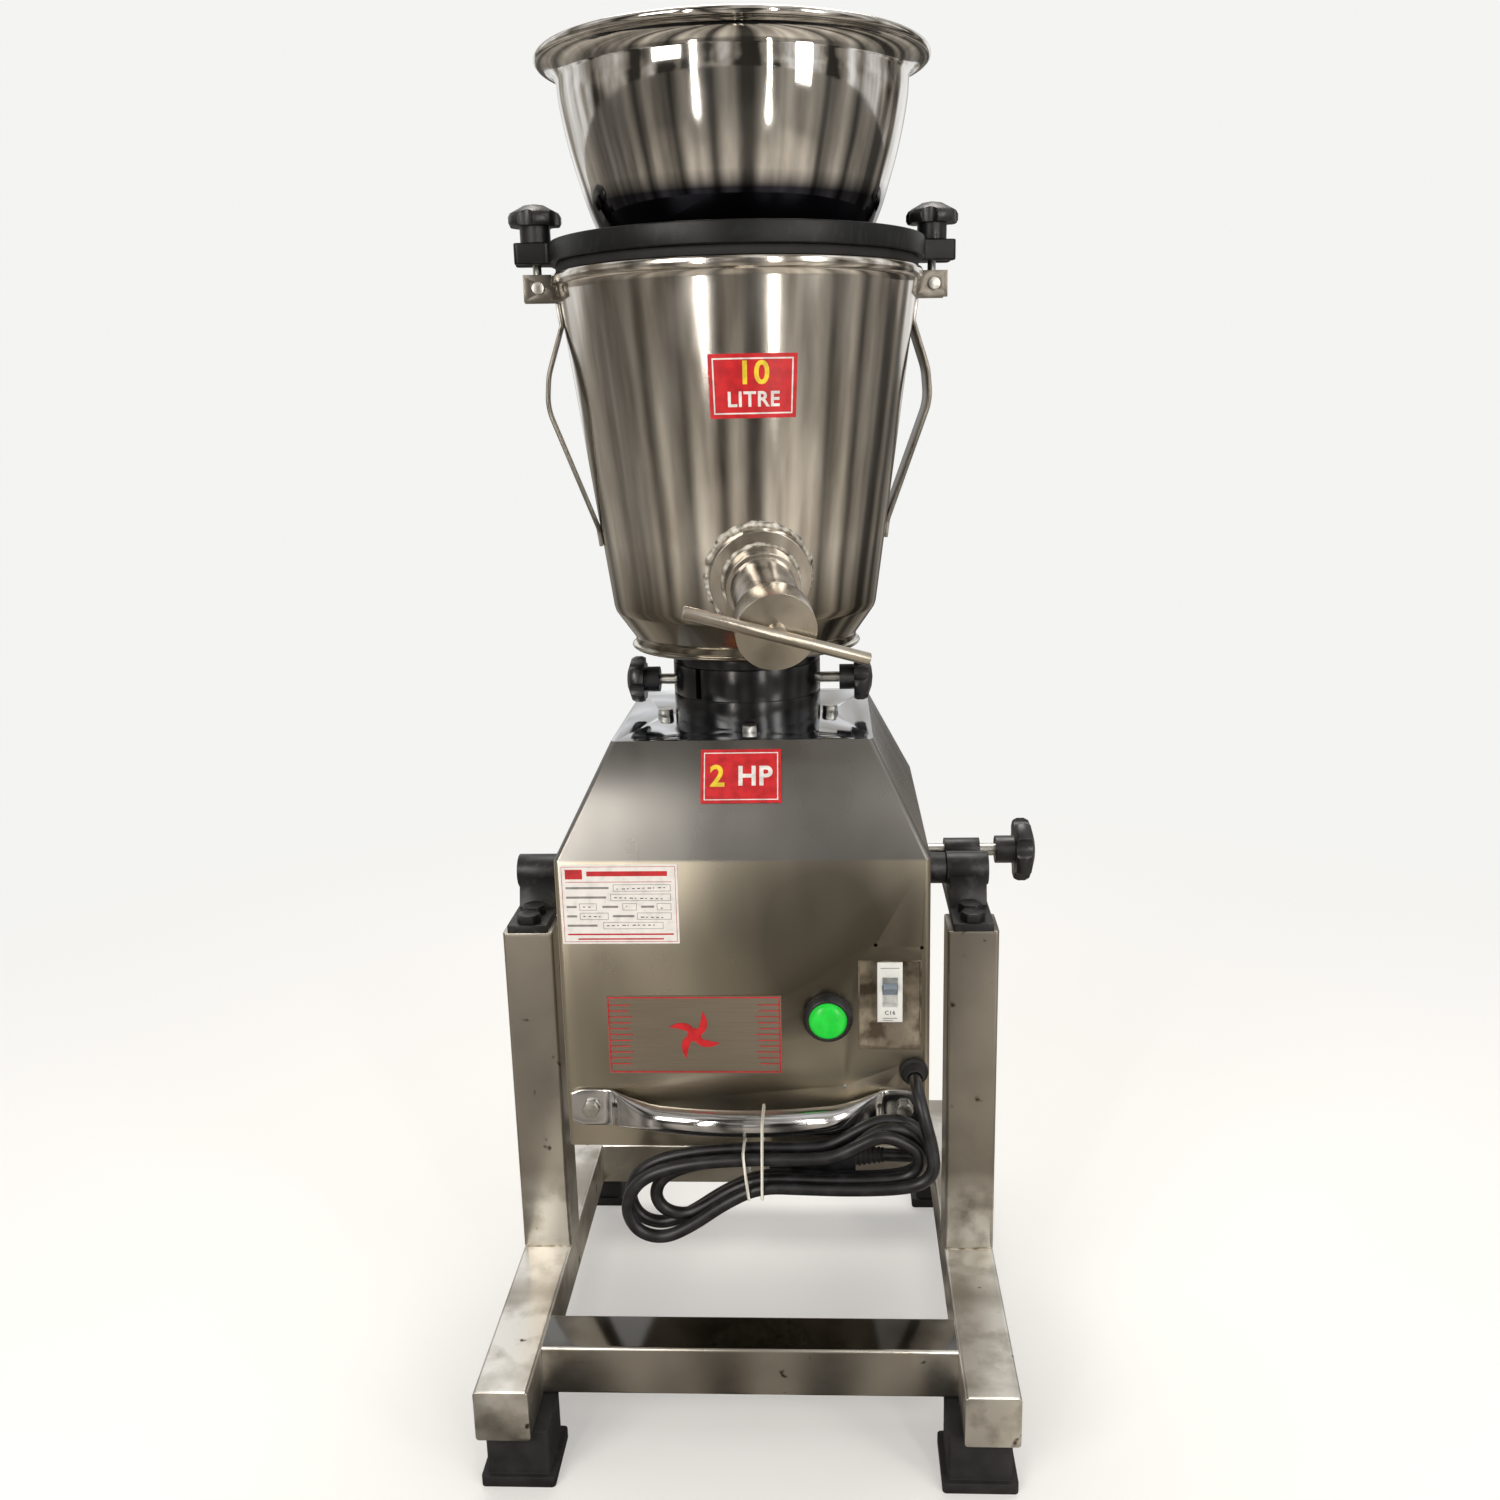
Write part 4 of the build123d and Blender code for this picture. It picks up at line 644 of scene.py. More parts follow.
def smooth_line(points, steps=8):
    """More points along a smooth line through the given ones (Catmull-Rom)."""
    ends = [points[0]] + list(points) + [points[-1]]
    line = []
    for before, start, end, after in zip(ends, ends[1:], ends[2:], ends[3:]):
        for step in range(steps):
            t = step / steps
            line.append(tuple(0.5 * (2 * s + (e - b) * t + (2 * b - 5 * s + 4 * e - a) * t * t
                                     + (3 * s - b - 3 * e + a) * t ** 3)
                              for b, s, e, a in zip(before, start, end, after)))
    return line + [tuple(points[-1])]


def signed_power(value, power):
    """The value's size to a power, with its own sign: squares off a round section."""
    return (abs(value) ** power) * (1 if value >= 0 else -1)


def tube_handle():
    """Sections go from a flat tab at each bolt to a round tube, bowed out from the panel between them."""
    half_line = smooth_line(HANDLE_SHARES, 6)
    places = [(-BOLT_SPAN / 2 + inward, *shares) for inward, *shares in half_line]
    places += [(-x, *shares) for x, *shares in reversed(places[:-1])]
    bm = bmesh.new()
    rings = []
    for x, round_share, out_share in places:
        height = (FLAT_HEIGHT * (1 - round_share) + TUBE_ROUND * round_share) / 2
        depth = (FLAT_THICK * (1 - round_share) + TUBE_ROUND * round_share) / 2
        y = PANEL_Y - depth - STAND_OFF * out_share
        z = handle_z + LIFT * out_share
        power = 0.5 + 0.5 * round_share
        end_trim = 1 - 0.16 * max(0.0, (abs(x) - BOLT_SPAN / 2 - 8) / 6)
        rings.append([bm.verts.new(at(x, y + depth * signed_power(sin(a), power),
                                      z + height * end_trim * signed_power(cos(a), power)))
                      for a in around(32)])
    skin(bm, rings, capped=True)
    return bm


pull = finish_mesh("tube_pull_handle", tube_handle(), chrome, "housing", "mirror_stainless", 60)
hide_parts("pull_handle")


# ---------------------------------------------------------------- neck collar
# A turned black nylon collar screwed to the top plate; the jar's spigot drops into it.
def turned_nylon():
    """Cast nylon turned on a lathe: deep black with a smooth gloss and fine turning lines round it."""
    material, shader = new_material("turned_black_nylon")
    lines = grain(material, 12, (2, 2, 160), 3)
    colour = mixed(material, "#050506", "#101114", lines)
    feed(material, shader, Base_Color=colour)
    feed(material, shader, Roughness=ramp(material, grain(material, 35), 0.12, 0.3))
    shader.inputs["IOR"].default_value = 1.53
    bump(material, shader, lines, 0.02)
    return material


nylon = turned_nylon()
softened("neck_collar", 1.0, nylon, "black_plastic", "collar", 3)
softened("jar_spigot", 1.0, nylon, "black_plastic", "spigot", 3)


# ---------------------------------------------------------------- star knobs and their studs
# Compression-moulded phenolic star grips with five lobes on zinc-plated studs.
def phenolic():
    """Phenolic moulding: black, half-gloss on the crowns, duller where hands have dulled it."""
    material, shader = new_material("moulded_phenolic")
    handled = grain(material, 70, detail=5)
    feed(material, shader, Base_Color=mixed(material, "#0b0b0d", "#232427", handled))
    feed(material, shader, Roughness=ramp(material, handled, 0.22, 0.5, 0.3, 0.7))
    shader.inputs["IOR"].default_value = 1.6
    bump(material, shader, grain(material, 1100), 0.03)
    return material


grip = phenolic()
for knob in ("tilt_lock_knob", "jar_lock_knob_left", "jar_lock_knob_right", "lid_knob_left",
             "lid_knob_right"):
    softened(knob, 1.3, grip, "black_plastic", knob.replace("knob", "star_grip"), 3, 34)
for stud in ("tilt_lock_stud", "jar_lock_stud_left", "jar_lock_stud_right"):
    frame["nodes"][stud].data.materials.clear()
    frame["nodes"][stud].data.materials.append(zinc)


# ---------------------------------------------------------------- jar
# Ten-litre tapered vessel in spun and polished stainless sheet with a rolled lip at the mouth and foot. Its
# outside was buffed along its height, so it mirrors the room in soft upright bands.
def polished_sheet(name, low, high, rough, spun=160.0, dents=1.0, streak=0.10, foot=(0.0, 0.01, "#808080")):
    """Polished stainless: spun lines round it, upright buffing bands, shallow dents, and a painted dark reflection
    on its outward faces towards its foot.
    """
    material, shader = new_material(name)
    spun_lines = grain(material, 10, (1.5, 1.5, spun), 4)
    buffed = grain(material, 8, (9, 9, 0.5), 4)
    clouds = grain(material, 12, detail=5)
    colour = mixed(material, low, high, ramp(material, buffed, 0, 1, 0.32, 0.68))
    foot_low, foot_high, painted_reflection_tone = foot
    place = add(material, "ShaderNodeTexCoord")
    height = add(material, "ShaderNodeSeparateXYZ", Vector=place.outputs["Object"]).outputs[2]
    from_axis = add(material, "ShaderNodeVectorMath", {"operation": "SUBTRACT"}, i0=place.outputs["Object"])
    from_axis.inputs[1].default_value = (AXIS.x, AXIS.y, foot_high)
    facing = add(material, "ShaderNodeVectorMath", {"operation": "DOT_PRODUCT"}, i0=from_axis.outputs[0],
                 i1=place.outputs["Normal"])
    outside = ramp(material, facing.outputs[1], 0, 1, 0.0, 0.01)
    # Painted reflection: outward faces darken towards the foot's tone, fully below its low height and fading out at
    # its high one.
    shade = add(material, "ShaderNodeMath", {"operation": "MULTIPLY"}, i0=outside,
                i1=ramp(material, height, 1, 0, foot_low, foot_high))
    colour = mixed_into(material, colour, painted_reflection_tone, shade.outputs[0])
    feed(material, shader, Base_Color=colour)
    metal(shader)
    hazy = ramp(material, clouds, rough, rough + 0.09, 0.35, 0.7)
    rough_sum = add(material, "ShaderNodeMath", {"operation": "MULTIPLY_ADD"}, i0=buffed, i2=hazy)
    rough_sum.inputs[1].default_value = streak
    feed(material, shader, Roughness=rough_sum.outputs[0])
    fine = add(material, "ShaderNodeBump", {"Strength": 0.2, "Distance": 0.02 * MM}, Height=spun_lines)
    wavy = add(material, "ShaderNodeBump", {"Strength": 1.0, "Distance": dents * MM},
               Height=grain(material, 9, (1.6, 1.6, 0.6), 1), Normal=fine.outputs[0])
    feed(material, shader, Normal=wavy.outputs[0])
    return material


def straight_line(start, end, steps):
    """Evenly spaced points from start up to, but not on, the end."""
    return [tuple(s + (e - s) * k / steps for s, e in zip(start, end)) for k in range(steps)]


def spun(profile, segments):
    """A surface of revolution about the machine's axis; the profile is (radius, height) in millimetres."""
    bm = bmesh.new()
    rows = []
    for radius, z in profile:
        if radius < 0.01:
            rows.append([bm.verts.new(at(0, 0, z))] * segments)
        else:
            rows.append([bm.verts.new(at(radius * cos(a), radius * sin(a), z))
                         for a in around(segments)])
    for lower, upper in zip(rows, rows[1:]):
        for k in range(segments):
            following = (k + 1) % segments
            corners = [lower[k], lower[following], upper[following], upper[k]]
            unique = list(dict.fromkeys(corners))
            if len(unique) > 2:
                bm.faces.new(unique)
    return bm


JAR_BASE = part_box("jar_shell")[0].z / MM
JAR_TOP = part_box("jar_shell")[1].z / MM
# The jar's lowest 30 to 80 mm carries a painted darker reflection in its colour.
jar_polish = polished_sheet("polished_stainless_jar", "#b8b1a7", "#efebe4", 0.07, streak=0.06,
                            foot=((JAR_BASE + 30) * MM, (JAR_BASE + 80) * MM, "#7d776c"))
JAR_CHAMFER = 29.0
JAR_LOWER_RADIUS = 96.6
JAR_TOP_RADIUS = 127.5
JAR_WALL = 1.6
OUTLET_HEIGHT = 61.0
OUTLET_DROOP = radians(15)
SPOUT_BORE = 18.0


def jar_wall_radius(z):
    """Outside radius of the jar's cone at a height."""
    share = (z - JAR_BASE - JAR_CHAMFER) / (JAR_TOP - JAR_BASE - JAR_CHAMFER)
    return JAR_LOWER_RADIUS + (JAR_TOP_RADIUS - JAR_LOWER_RADIUS) * share


def outlet_place(u, v, distance):
    """A place beside the outlet's axis: u to the right, v upwards, distance out from the jar's wall, in mm."""
    height = JAR_BASE + OUTLET_HEIGHT
    start = jar_wall_radius(height)
    x = u
    y = -start - distance * cos(OUTLET_DROOP) - v * sin(OUTLET_DROOP)
    z = height - distance * sin(OUTLET_DROOP) + v * cos(OUTLET_DROOP)
    return (x * cos(JAR_TURN) - y * sin(JAR_TURN), x * sin(JAR_TURN) + y * cos(JAR_TURN), z)


jar_outside = [(0, JAR_BASE), (40, JAR_BASE), (80, JAR_BASE), (83.5, JAR_BASE + 0.3), (84.6, JAR_BASE + 1.2),
               (85, JAR_BASE + 2), (84.6, JAR_BASE + 3), (83.3, JAR_BASE + 3.9), (82, JAR_BASE + 4.2),
               (82, JAR_BASE + 7)]
jar_outside += smooth_line([(82.3, JAR_BASE + 8.6), (84, JAR_BASE + 11), (94.2, JAR_BASE + 25.6),
                            (96, JAR_BASE + 28.6), (97, JAR_BASE + 32)], 4)
jar_outside += straight_line((97.2, JAR_BASE + 33.5), (126.6, JAR_TOP - 8.5), 60)
jar_lip = [(126.6, JAR_TOP - 8.5), (127.6, JAR_TOP - 7.4), (129.3, JAR_TOP - 6.6), (130, JAR_TOP - 5.2),
           (130, JAR_TOP - 1.6), (129.5, JAR_TOP - 0.5), (128.4, JAR_TOP), (126.6, JAR_TOP), (125.6, JAR_TOP - 0.6),
           (125.3, JAR_TOP - 1.8)]
jar_inside = [(radius - JAR_WALL, z) for radius, z in reversed(jar_outside[9:])]
jar_inside += [(80.2, JAR_BASE + 3.5), (78, JAR_BASE + JAR_WALL), (0, JAR_BASE + JAR_WALL)]
jar_bm = spun(jar_outside + jar_lip + jar_inside, 192)
outlet_axis = Vector(outlet_place(0, 0, 0))
outlet_way = (Vector(outlet_place(0, 0, 100)) - outlet_axis) / 100


def from_outlet_axis(place):
    """Distance in mm of a place from the outlet's axis, and how far along it the place is."""
    offset = (place - AXIS) / MM - outlet_axis
    along = offset.dot(outlet_way)
    return (offset - outlet_way * along).length, along


doomed = [face for face in jar_bm.faces if from_outlet_axis(face.calc_center_median())[0] < SPOUT_BORE + 1
          and abs(from_outlet_axis(face.calc_center_median())[1]) < 20]
bmesh.ops.delete(jar_bm, geom=doomed, context="FACES")
for edge in [e for e in jar_bm.edges if e.is_boundary]:
    for vert in edge.verts:
        reach, along = from_outlet_axis(vert.co)
        if 8 < reach < 34:
            centre = AXIS + (outlet_axis + outlet_way * along) * MM
            vert.co = centre + (vert.co - centre) * ((SPOUT_BORE + 1.5) / reach)
jar = finish_mesh("jar", jar_bm, jar_polish, "jar", "polished_stainless", 35)
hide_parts("jar_shell")

# ---------------------------------------------------------------- jar handles, clamp lugs and swing bolts
# Bowed strap handles and pairs of lug plates, all cut from 3 mm stainless strip and welded to the jar.
strap_welds = [(at(side * radius * cos(JAR_TURN), side * radius * sin(JAR_TURN), z), 0.014)
               for side in (-1, 1) for radius, z in ((107, JAR_BASE + 78), (125, JAR_BASE + 236))]
strap_steel = satin_tube("satin_stainless_strap", 2, strap_welds, tones=("#5e5a53", "#88837a"))
softened("jar_handles", 0.7, strap_steel, "satin_stainless", "strap_handles")
softened("clamp_lugs", 0.5, strap_steel, "satin_stainless", "swing_bolt_lugs")
softened("swing_bolts", 0.25, zinc, "zinc_steel", "swing_bolts_and_pins")

# ---------------------------------------------------------------- outlet spout and its welds
# A round flange and stepped tube turned from stainless bar, welded to the jar with a rough, whitish bead that
# was never ground back.
spout_steel = polished_sheet("turned_stainless_spout", "#a09a90", "#d4cfc7", 0.12, spun=40, dents=0.2)
softened("outlet_spout", 0.8, spout_steel, "polished_stainless", "outlet_tube", 3)


def rough_weld():
    """Unground stick weld: chalky grey metal with pale flux left in its folds."""
    material, shader = new_material("rough_weld_bead")
    folds = grain(material, 190, detail=5)
    colour = mixed(material, "#6f675a", "#dedbd2", ramp(material, folds, 0, 1, 0.35, 0.62))
    feed(material, shader, Base_Color=colour)
    feed(material, shader, Metallic=ramp(material, folds, 0.95, 0.35, 0.35, 0.6))
    feed(material, shader, Roughness=ramp(material, folds, 0.3, 0.7, 0.35, 0.65))
    bump(material, shader, grain(material, 320, detail=6), 0.7)
    return material


chalky = rough_weld()


def wall_meeting(u, v):
    """How far along the outlet's axis a line at (u, v) beside it meets the jar's wall."""
    low, high = -60.0, 30.0
    for _ in range(30):
        middle = (low + high) / 2
        x, y, z = outlet_place(u, v, middle)
        if (x * x + y * y) ** 0.5 > jar_wall_radius(z):
            high = middle
        else:
            low = middle
    return (low + high) / 2


def round_bead(name, radius, size, depth, seed):
    """A bead round the outlet's axis, on the jar's wall where no depth is given."""
    bm = bmesh.new()
    rings = []
    for angle in around(150):
        u, v = cos(angle), sin(angle)
        distance = wall_meeting(u * radius, v * radius) if depth is None else depth
        lump = 0.75 + 0.5 * noise.noise(Vector((u * 5, v * 5, seed))) + 0.25 * noise.noise(
            Vector((u * 17, v * 17, seed + 3)))
        reach = size * max(0.45, lump)
        ring_verts = []
        for turned_by in around(10):
            out = radius + reach * cos(turned_by) * 1.1
            place = outlet_place(u * out, v * out, distance + reach * sin(turned_by))
            ring_verts.append(bm.verts.new(at(*place)))
        rings.append(ring_verts)
    skin(bm, rings, closed=True)
    return finish_mesh(name, bm, chalky, "jar", "satin_stainless", 60)


round_bead("flange_weld", 34.6, 3.3, None, 1)
round_bead("tube_weld", 25.4, 1.8, 7.4, 5)

# ---------------------------------------------------------------- outlet cap, washer and tee bar
# Screw cap turned from stainless bar with a fine facing scroll, a rubber washer in it and a plain round bar
# pushed through its boss as the grip.
def faced_cap():
    """Lathe-turned cap: bright satin with rings of tool marks about its own axis."""
    material, shader = new_material("faced_stainless_cap")
    place = add(material, "ShaderNodeTexCoord").outputs["Object"]
    centred = add(material, "ShaderNodeVectorMath", {"operation": "SUBTRACT"}, i0=place)
    centred.inputs[1].default_value = at(*outlet_place(0, 0, 90))
    along = add(material, "ShaderNodeVectorMath", {"operation": "DOT_PRODUCT"}, i0=centred.outputs[0])
    along.inputs[1].default_value = outlet_way
    squared = add(material, "ShaderNodeVectorMath", {"operation": "DOT_PRODUCT"}, i0=centred.outputs[0],
                  i1=centred.outputs[0])
    axial = add(material, "ShaderNodeMath", {"operation": "POWER"}, i0=along.outputs[1])
    axial.inputs[1].default_value = 2.0
    radial = add(material, "ShaderNodeMath", {"operation": "SUBTRACT"}, i0=squared.outputs[1], i1=axial.outputs[0])
    reach = add(material, "ShaderNodeMath", {"operation": "SQRT"}, i0=radial.outputs[0])
    scroll = add(material, "ShaderNodeTexNoise", {"noise_dimensions": "1D", "Scale": 1400, "Detail": 2},
                 W=reach.outputs[0])
    clouds = grain(material, 60, detail=4)
    feed(material, shader, Base_Color=mixed(material, "#9c9486", "#cdc6b9", clouds))
    metal(shader)
    feed(material, shader, Roughness=ramp(material, clouds, 0.2, 0.38))
    bump(material, shader, scroll.outputs[0], 0.03, 0.6)
    return material


cap_steel = faced_cap()
softened("outlet_cap", 0.8, cap_steel, "satin_stainless", "screw_cap", 3)
softened("outlet_tee_bar", 0.4, cap_steel, "satin_stainless", "tee_bar")
softened("outlet_washer", 0.2, rubber, "black_rubber", "cap_washer")

# ---------------------------------------------------------------- lid ring and gasket
# A 14 mm ring sawn and turned from black nylon plate, its top lightly scored by the feed bowl; a flat rubber
# gasket is pinched between it and the jar's lip.
def plate_nylon():
    """Turned nylon plate: black with a bluish sheen on its flats, tool rings and pale scratches."""
    material, shader = new_material("nylon_plate")
    scratches = grain(material, 30, (1, 14, 3), 6)
    colour = mixed(material, "#0a0b0d", "#1d1f23", ramp(material, scratches, 0, 1, 0.52, 0.74))
    feed(material, shader, Base_Color=colour)
    feed(material, shader, Roughness=ramp(material, grain(material, 28), 0.3, 0.5))
    shader.inputs["IOR"].default_value = 1.53
    shader.inputs["Specular IOR Level"].default_value = 0.3
    bump(material, shader, grain(material, 10, (2, 2, 130), 3), 0.04)
    return material


softened("lid_ring", 1.0, plate_nylon(), "black_plastic", "lid_ring_body", 3)
softened("lid_gasket", 0.4, rubber, "black_rubber", "lid_gasket_body", 2)

# ---------------------------------------------------------------- feed bowl
# Deep spun stainless bowl with its bottom cut out as a throat, mirror polished, the rim flared and rolled over
# a wire.
BOWL_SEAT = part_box("lid_ring")[1].z / MM
# The bowl's lowest band above the lid carries a painted dark reflection of the lid in its colour.
bowl_polish = polished_sheet("mirror_stainless_bowl", "#b4b0aa", "#e4e1dc", 0.03, spun=220, dents=0.7,
                             streak=0.03, foot=((BOWL_SEAT + 22) * MM, (BOWL_SEAT + 33) * MM, "#33333a"))
BOWL_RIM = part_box("feed_bowl")[1].z / MM
BOWL_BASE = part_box("feed_bowl")[0].z / MM
BOWL_WALL = 1.2
wall_line = smooth_line([(62, BOWL_BASE), (75, BOWL_BASE + 3.6), (84, BOWL_BASE + 10.5), (92, BOWL_SEAT),
                         (100.3, BOWL_SEAT + 17), (106.9, BOWL_SEAT + 37), (112.4, BOWL_SEAT + 56),
                         (116.5, BOWL_SEAT + 74), (119.2, BOWL_SEAT + 90), (120, BOWL_SEAT + 102)], 7)
bead_z = BOWL_RIM - 3.1
rim_line = [(121.2, BOWL_SEAT + 106), (124, BOWL_SEAT + 109.6), (128, BOWL_SEAT + 112.2)]
rim_line += [(131.5 + 3.0 * cos(radians(a)), bead_z + 3.0 * sin(radians(a))) for a in range(-100, 126, 15)]
rim_line += [(127.2, BOWL_RIM - 3.4), (122.6, BOWL_RIM - 7.2), (119.8, BOWL_RIM - 12)]
inner_line = [(radius - BOWL_WALL, z + (0.6 if radius > 84 else BOWL_WALL))
              for radius, z in reversed(wall_line)]
throat_line = [(30, BOWL_BASE + BOWL_WALL), (30, BOWL_BASE)]
bowl_profile = [(30, BOWL_BASE), (45, BOWL_BASE)] + wall_line + rim_line + inner_line + throat_line
bowl = finish_mesh("mirror_feed_bowl", spun(bowl_profile, 192), bowl_polish, "feed_bowl",
                   "mirror_stainless", 50)
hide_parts("feed_bowl")

# ---------------------------------------------------------------- pilot lamp
# 22 mm panel lamp: a ribbed black plastic bezel and a moulded green acrylic lens lit from behind.
def lit_lens():
    """Green acrylic with the lamp's glow behind it, a little uneven, under a clear gloss."""
    material, shader = new_material("green_acrylic_lens")
    glow = grain(material, 120, detail=2)
    feed(material, shader, Base_Color=mixed(material, "#0e9a26", "#20c73c", glow))
    feed(material, shader, Emission_Color=mixed(material, "#0c9022", "#1fbf3a", glow))
    shader.inputs["Emission Strength"].default_value = 0.45
    shader.inputs["Roughness"].default_value = 0.22
    shader.inputs["IOR"].default_value = 1.49
    bump(material, shader, grain(material, 500), 0.08)
    return material


softened("lamp_bezel", 0.5, grip, "black_plastic", "lamp_bezel_body", 3)
softened("lamp_lens", 0.4, lit_lens(), "green_lens", "lamp_lens_body", 2)

# ---------------------------------------------------------------- circuit breaker in its recess
# A white 18 mm breaker behind a pressed steel recess with a sloping lower lip; grease and dust have browned the
# recess's corners.
def moulded_plastic(name, low, high, rough):
    """Injection-moulded thermoplastic, slightly yellowed and faintly textured."""
    material, shader = new_material(name)
    aged = grain(material, 50, detail=5)
    feed(material, shader, Base_Color=mixed(material, low, high, aged))
    feed(material, shader, Roughness=ramp(material, aged, rough, rough + 0.15))
    shader.inputs["IOR"].default_value = 1.57
    bump(material, shader, grain(material, 900), 0.03)
    return material


def grimy_recess():
    """Pressed steel sheet browned by grease towards its corners."""
    material, shader = new_material("grimy_stainless_recess")
    grime = grain(material, 60, detail=5)
    colour = mixed(material, "#4a3f30", "#a49a8a", ramp(material, grime, 0, 1, 0.38, 0.62))
    feed(material, shader, Base_Color=colour)
    feed(material, shader, Metallic=ramp(material, grime, 0.55, 1.0, 0.38, 0.55))
    feed(material, shader, Roughness=ramp(material, grime, 0.6, 0.3, 0.38, 0.62))
    bump(material, shader, grime, 0.1)
    return material


softened("breaker_recess", 0.35, grimy_recess(), "satin_stainless", "pressed_recess", 2)
white_plastic = moulded_plastic("white_thermoplastic", "#cfd0cc", "#e6e7e4", 0.3)
lever_plastic = moulded_plastic("blue_grey_thermoplastic", "#5d6874", "#7b8794", 0.32)
softened("breaker_body", 0.5, white_plastic, "white_plastic", "breaker_case", 2)
softened("breaker_toggle", 0.5, lever_plastic, "grey_plastic", "breaker_lever", 2)


# ---------------------------------------------------------------- labels and plates
# Vinyl power and capacity labels, a paper rating plate under clear film, and a plain name plate with a cutter
# figure. Print stands a tenth of a millimetre proud, as screen ink does; it is coarser here so that it shows.
def ink(name, colour, rough=0.4, fade=0.86):
    """Screen-print ink or vinyl film: flat colour with a slightly uneven sheen."""
    material, shader = new_material(name)
    uneven = grain(material, 150, detail=4)
    darker = "#" + "".join(f"{int(int(colour[i:i + 2], 16) * fade):02x}" for i in (1, 3, 5))
    feed(material, shader, Base_Color=mixed(material, darker, colour, ramp(material, uneven, 0, 1, 0.35, 0.6)))
    feed(material, shader, Roughness=ramp(material, uneven, rough - 0.08, rough + 0.1))
    shader.inputs["IOR"].default_value = 1.5
    return material


red_vinyl = ink("red_vinyl", "#c8161f", 0.32)
white_ink = ink("white_ink", "#e9e7e2")
yellow_ink = ink("yellow_ink", "#f0cf2a")
red_ink = ink("red_ink", "#c2242b")
grey_ink = ink("grey_ink", "#8a8784")
dark_ink = ink("dark_ink", "#3b3b40")
paper = ink("filmed_paper", "#e4e1dd", 0.28, 0.96)


def on_panel(centre_x, centre_z):
    """Places on the front panel, from a plate's middle: u right, v up, lift out of the panel."""
    return lambda u, v, lift: at(centre_x + u, PANEL_Y - lift, centre_z + v)


def on_band(rise_share):
    """Places on the sloping front band, from a label's middle."""
    run, rise = 36.5, 76.0
    length = (run ** 2 + rise ** 2) ** 0.5
    def place(u, v, lift):
        y = PANEL_Y + run * rise_share + v * run / length - lift * rise / length
        z = shoulder_z / MM + rise * rise_share + v * rise / length + lift * run / length
        return at(u, y, z)
    return place


def on_jar(turned_by, centre_z):
    """Places on the jar's cone, from a label's middle."""
    def place(u, v, lift):
        z = centre_z + v
        radius = jar_wall_radius(z) + lift
        angle = JAR_TURN + turned_by - pi / 2 + u / jar_wall_radius(centre_z)
        return at(radius * cos(angle), radius * sin(angle), z)
    return place


def printed(name, place, bars, lift, material, body, thick=0.0):
    """Flat rectangles (left, low, right, high) laid on a surface; a thickness gives them edges."""
    bm = bmesh.new()
    for left, low, right, high in bars:
        steps = max(1, round((right - left) / 3))
        rises = max(1, round((high - low) / 6))
        grid = [[bm.verts.new(place(left + (right - left) * i / steps, low + (high - low) * j / rises, lift))
                 for i in range(steps + 1)] for j in range(rises + 1)]
        faces = [bm.faces.new((grid[j][i], grid[j][i + 1], grid[j + 1][i + 1], grid[j + 1][i]))
                 for j in range(rises) for i in range(steps)]
        if thick:
            bm.normal_update()
            bmesh.ops.solidify(bm, geom=faces, thickness=thick * MM)
    return finish_mesh(name, bm, material, body, "printed_plate", 40)


def outline_bars(width, height, line, inset=0.0):
    """Four bars that frame a rectangle."""
    x, z = width / 2 - inset, height / 2 - inset
    return [(-x, z - line, x, z), (-x, -z, x, -z + line), (-x, -z + line, -x + line, z - line),
            (x - line, -z + line, x, z - line)]


def lettered(name, place, words, size, middle, lift, material, body, weight=0.5):
    """Bold plain lettering laid on a surface; weight is how far each stroke is fattened, in mm."""
    text = bpy.data.curves.new(name + "_letters", "FONT")
    text.body = words
    text.size = size
    text.align_x = "CENTER"
    text.align_y = "CENTER"
    text.offset = weight / 2
    text.space_character = 1.08
    text.resolution_u = 4
    maker = bpy.data.objects.new(name + "_maker", text)
    bpy.context.scene.collection.objects.link(maker)
    bpy.context.view_layer.update()
    flat = bpy.data.meshes.new_from_object(maker.evaluated_get(bpy.context.evaluated_depsgraph_get()))
    bpy.data.objects.remove(maker)
    bm = bmesh.new()
    bm.from_mesh(flat)
    for vert in bm.verts:
        vert.co = place(middle[0] + vert.co.x, middle[1] + vert.co.y, lift)
    return finish_mesh(name, bm, material, body, "printed_plate")


# Capacity label above the spout.
capacity = on_jar(radians(-1.5), JAR_BASE + 184.5)
printed("capacity_label", capacity, [(-28.5, -20, 28.5, 20)], 0.35, red_vinyl, "jar", 0.3)
printed("capacity_border", capacity, outline_bars(57, 40, 0.9, 2.6), 0.42, white_ink, "jar")
lettered("capacity_number", capacity, "10", 20, (0, 7.6), 0.45, yellow_ink, "jar", 0.9)
lettered("capacity_unit", capacity, "LITRE", 13.2, (0, -8.6), 0.45, white_ink, "jar", 0.6)

# Power label on the sloping band, a little ragged in its grip.
power = on_band(0.7)
printed("power_label", power, [(-28, -19, 28, 19)], 0.45, red_vinyl, "housing", 0.3)
printed("power_border", power, outline_bars(56, 38, 0.7, 2.2), 0.52, white_ink, "housing")
lettered("power_number", power, "2", 21, (-16.5, -0.5), 0.55, yellow_ink, "housing", 1.0)
lettered("power_unit", power, "HP", 19, (9.5, -0.5), 0.55, white_ink, "housing", 1.0)

